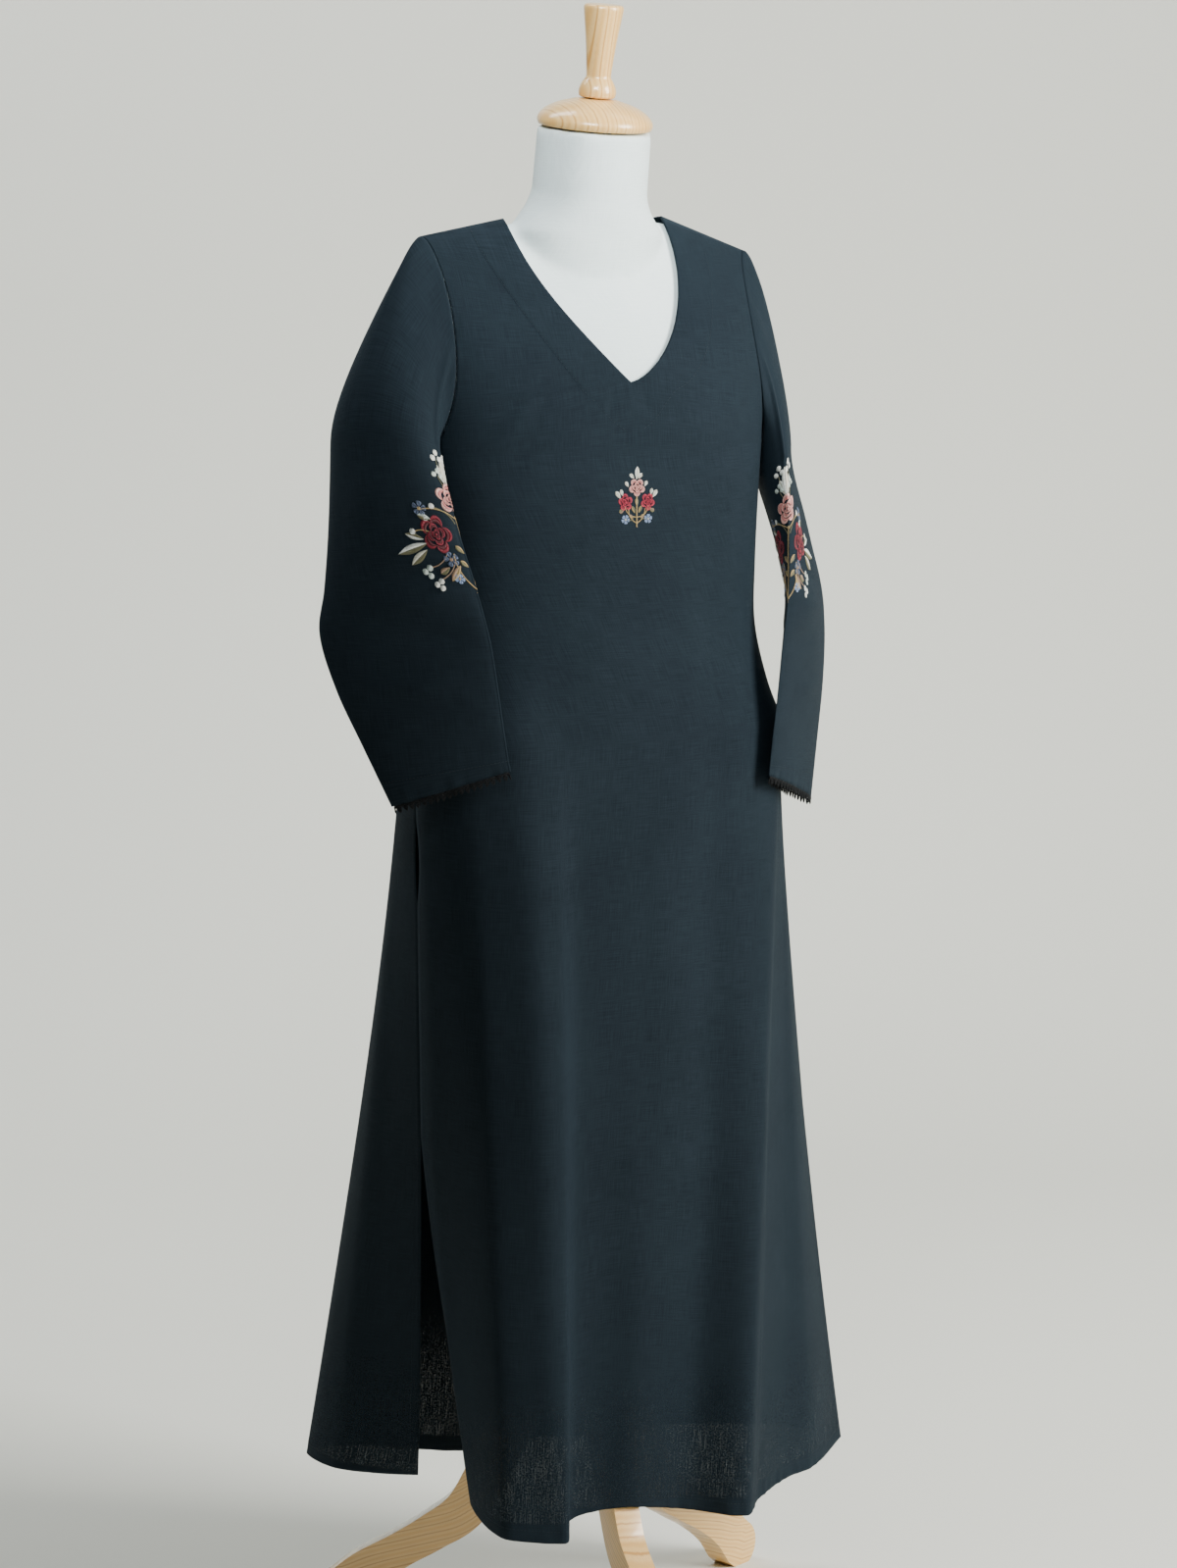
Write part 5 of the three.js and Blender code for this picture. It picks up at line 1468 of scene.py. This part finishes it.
def cuffStitches(side):
    rows = sectionPoint(side, np.linspace(0.93, 0.995, 14)[:, None], np.linspace(0, 4, 161)[None, :])
    outward = unit(np.cross(np.gradient(rows[1], axis=0), rows[2] - rows[0]))
    outward *= np.sign(np.sum(outward * (rows[1] - rows[1].mean(0))))
    lengths = arcLength(rows[:, 40])
    row = int(np.argmin(np.abs(lengths[-1] - lengths - stitchLook["cuff"])))
    return sew(side + "CuffStitches", [(rows[row], outward)])


seamStitches = {
    "front": panelStitches("frontHemStitches", *panelForm["front"][:2]),
    "back": panelStitches("backHemStitches", *panelForm["back"][:2]), "facing": facingStitches(),
    "right": cuffStitches("right"), "left": cuffStitches("left"),
}
print("seams stitched")

# What stands for what

navy, lace, lacquer = "navy_cotton", "black_lace", "lacquered_wood"
pairs = [
    (frontCloth, "front_panel", navy), (backCloth, "back_panel", navy),
    (sleeves["right"], "right_sleeve", navy), (sleeves["left"], "left_sleeve", navy),
    (laces["right"], "right_cuff_lace", lace), (laces["left"], "left_cuff_lace", lace),
    (facing, "neck_facing", navy), (pocket, "pocket_bag", navy), (torso, "torso_form", "grey_linen"),
    (neckCap, "neck_cap", lacquer), (finial, "finial", lacquer), (hub, "hub", lacquer),
    (basePlate, "base_plate", lacquer), *[(obj, name, lacquer) for name, obj in legs.items()],
]
for piece, name, slot in pairs:
    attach(piece, "root")
    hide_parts(name)
for piece in (*embroidery.values(), *seamStitches.values()):
    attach(piece, "root")

# Studio

studioLook = {
    "wall": (0.79, 0.80, 0.735), "world": 0.05, "sky": (0.93, 0.97, 1.0, 1),
    "width": 3.2, "before": -1.7, "behind": 3.2, "curve": 1.2, "high": 4.5, "turn": -27.0,
}


def studioPoint(right, forward, z):
    turn = math.radians(studioLook["turn"])
    ahead = Vector((-math.sin(turn), math.cos(turn), 0))
    across = Vector((math.cos(turn), math.sin(turn), 0))
    return ahead * forward + across * right + Vector((0, 0, z))


def buildStudio():
    look, behind, curve = studioLook, studioLook["behind"], studioLook["curve"]
    bend = [(behind - curve + curve * math.sin(a), curve - curve * math.cos(a))
            for a in np.linspace(0, math.pi / 2, 25)]
    profile = [(look["before"], 0), *bend, (behind, look["high"])]
    points = [tuple(studioPoint(x, y, z)) for y, z in profile for x in (-look["width"], look["width"])]
    mesh = bpy.data.meshes.new("studioSweep")
    mesh.from_pydata(points, [], [(k, k + 1, k + 3, k + 2) for k in range(0, len(points) - 2, 2)])
    material, tree, shader = newMaterial("paperSweep")
    place = node(tree, "ShaderNodeTexCoord")
    cloud = node(tree, "ShaderNodeTexNoise", {"Scale": 0.8, "Detail": 1.0},
                 {"Vector": place.outputs["Object"]})
    tones = [(0.3, tuple(c * 0.985 for c in look["wall"])), (0.7, look["wall"])]
    sides = node(tree, "ShaderNodeNewGeometry")  # clear from behind, so that the back can be looked at
    wire(tree, shader, {"Roughness": 0.95, "Specular IOR Level": 0.1},
         {"Base Color": colourRamp(tree, cloud.outputs["Fac"], tones),
          "Alpha": mathNode(tree, "SUBTRACT", 1.0, sides.outputs["Backfacing"])})
    newObject("studioSweep", mesh, material)


def areaLight(name, place, target, size, power, colour, spread=180):
    light = bpy.data.lights.new(name, "AREA")
    light.spread = math.radians(spread)
    light.shape, light.size, light.size_y = "RECTANGLE", size[0], size[1]
    light.energy, light.color = power, colour
    obj = link(bpy.data.objects.new(name, light))
    obj.location = place
    obj.rotation_euler = (Vector(target) - Vector(place)).to_track_quat("-Z", "Y").to_euler()


buildStudio()
areaLight("keyWindow", (1.95, -2.45, 2.3), (0, 0, 1.25), (1.3, 2.0), 275.0, (1.0, 0.985, 0.95))
areaLight("frontFill", (0.4, -4.6, 2.4), (0, 0, 0.9), (2.0, 2.0), 7.0, (0.93, 0.97, 1.0))
areaLight("neckSoft", (-0.75, -1.15, 2.3), (0, 0, 1.6), (0.7, 0.4), 3.6, (0.93, 0.98, 1.0), 50)
areaLight("topFill", (0.6, 0.4, 3.6), (0, 0.2, 0), (2.4, 2.4), 8.0, (1.0, 1.0, 1.0))
for hand, name, power, colour in ((-1, "washLeft", 92.0, (0.95, 0.98, 1.0)),
                                  (1, "washRight", 14.0, (1.0, 0.97, 0.90))):
    place, target = studioPoint(1.6 * hand, 0.9, 3.7), studioPoint(0.7 * hand, 3.2, 0.7)
    areaLight(name, place, target, (2.2, 1.0), power, colour)
world = bpy.data.worlds.new("softRoom")
world.use_nodes = True
wire(world.node_tree, world.node_tree.nodes["Background"],
     {"Color": studioLook["sky"], "Strength": studioLook["world"]})
bpy.context.scene.world = world

cameraLook = {"place": (-2.0997, -4.0762, 1.600), "heading": -27.0, "down": 8.8, "lens": 105.14}
camera = link(bpy.data.objects.new("photoCamera", bpy.data.cameras.new("photoCamera")))
camera.data.sensor_width, camera.data.lens, camera.data.clip_end = 36, cameraLook["lens"], 50
camera.location = cameraLook["place"]
camera.rotation_euler = (math.radians(90 - cameraLook["down"]), 0, math.radians(cameraLook["heading"]))
bpy.context.scene.camera = camera
print("studio and camera set")
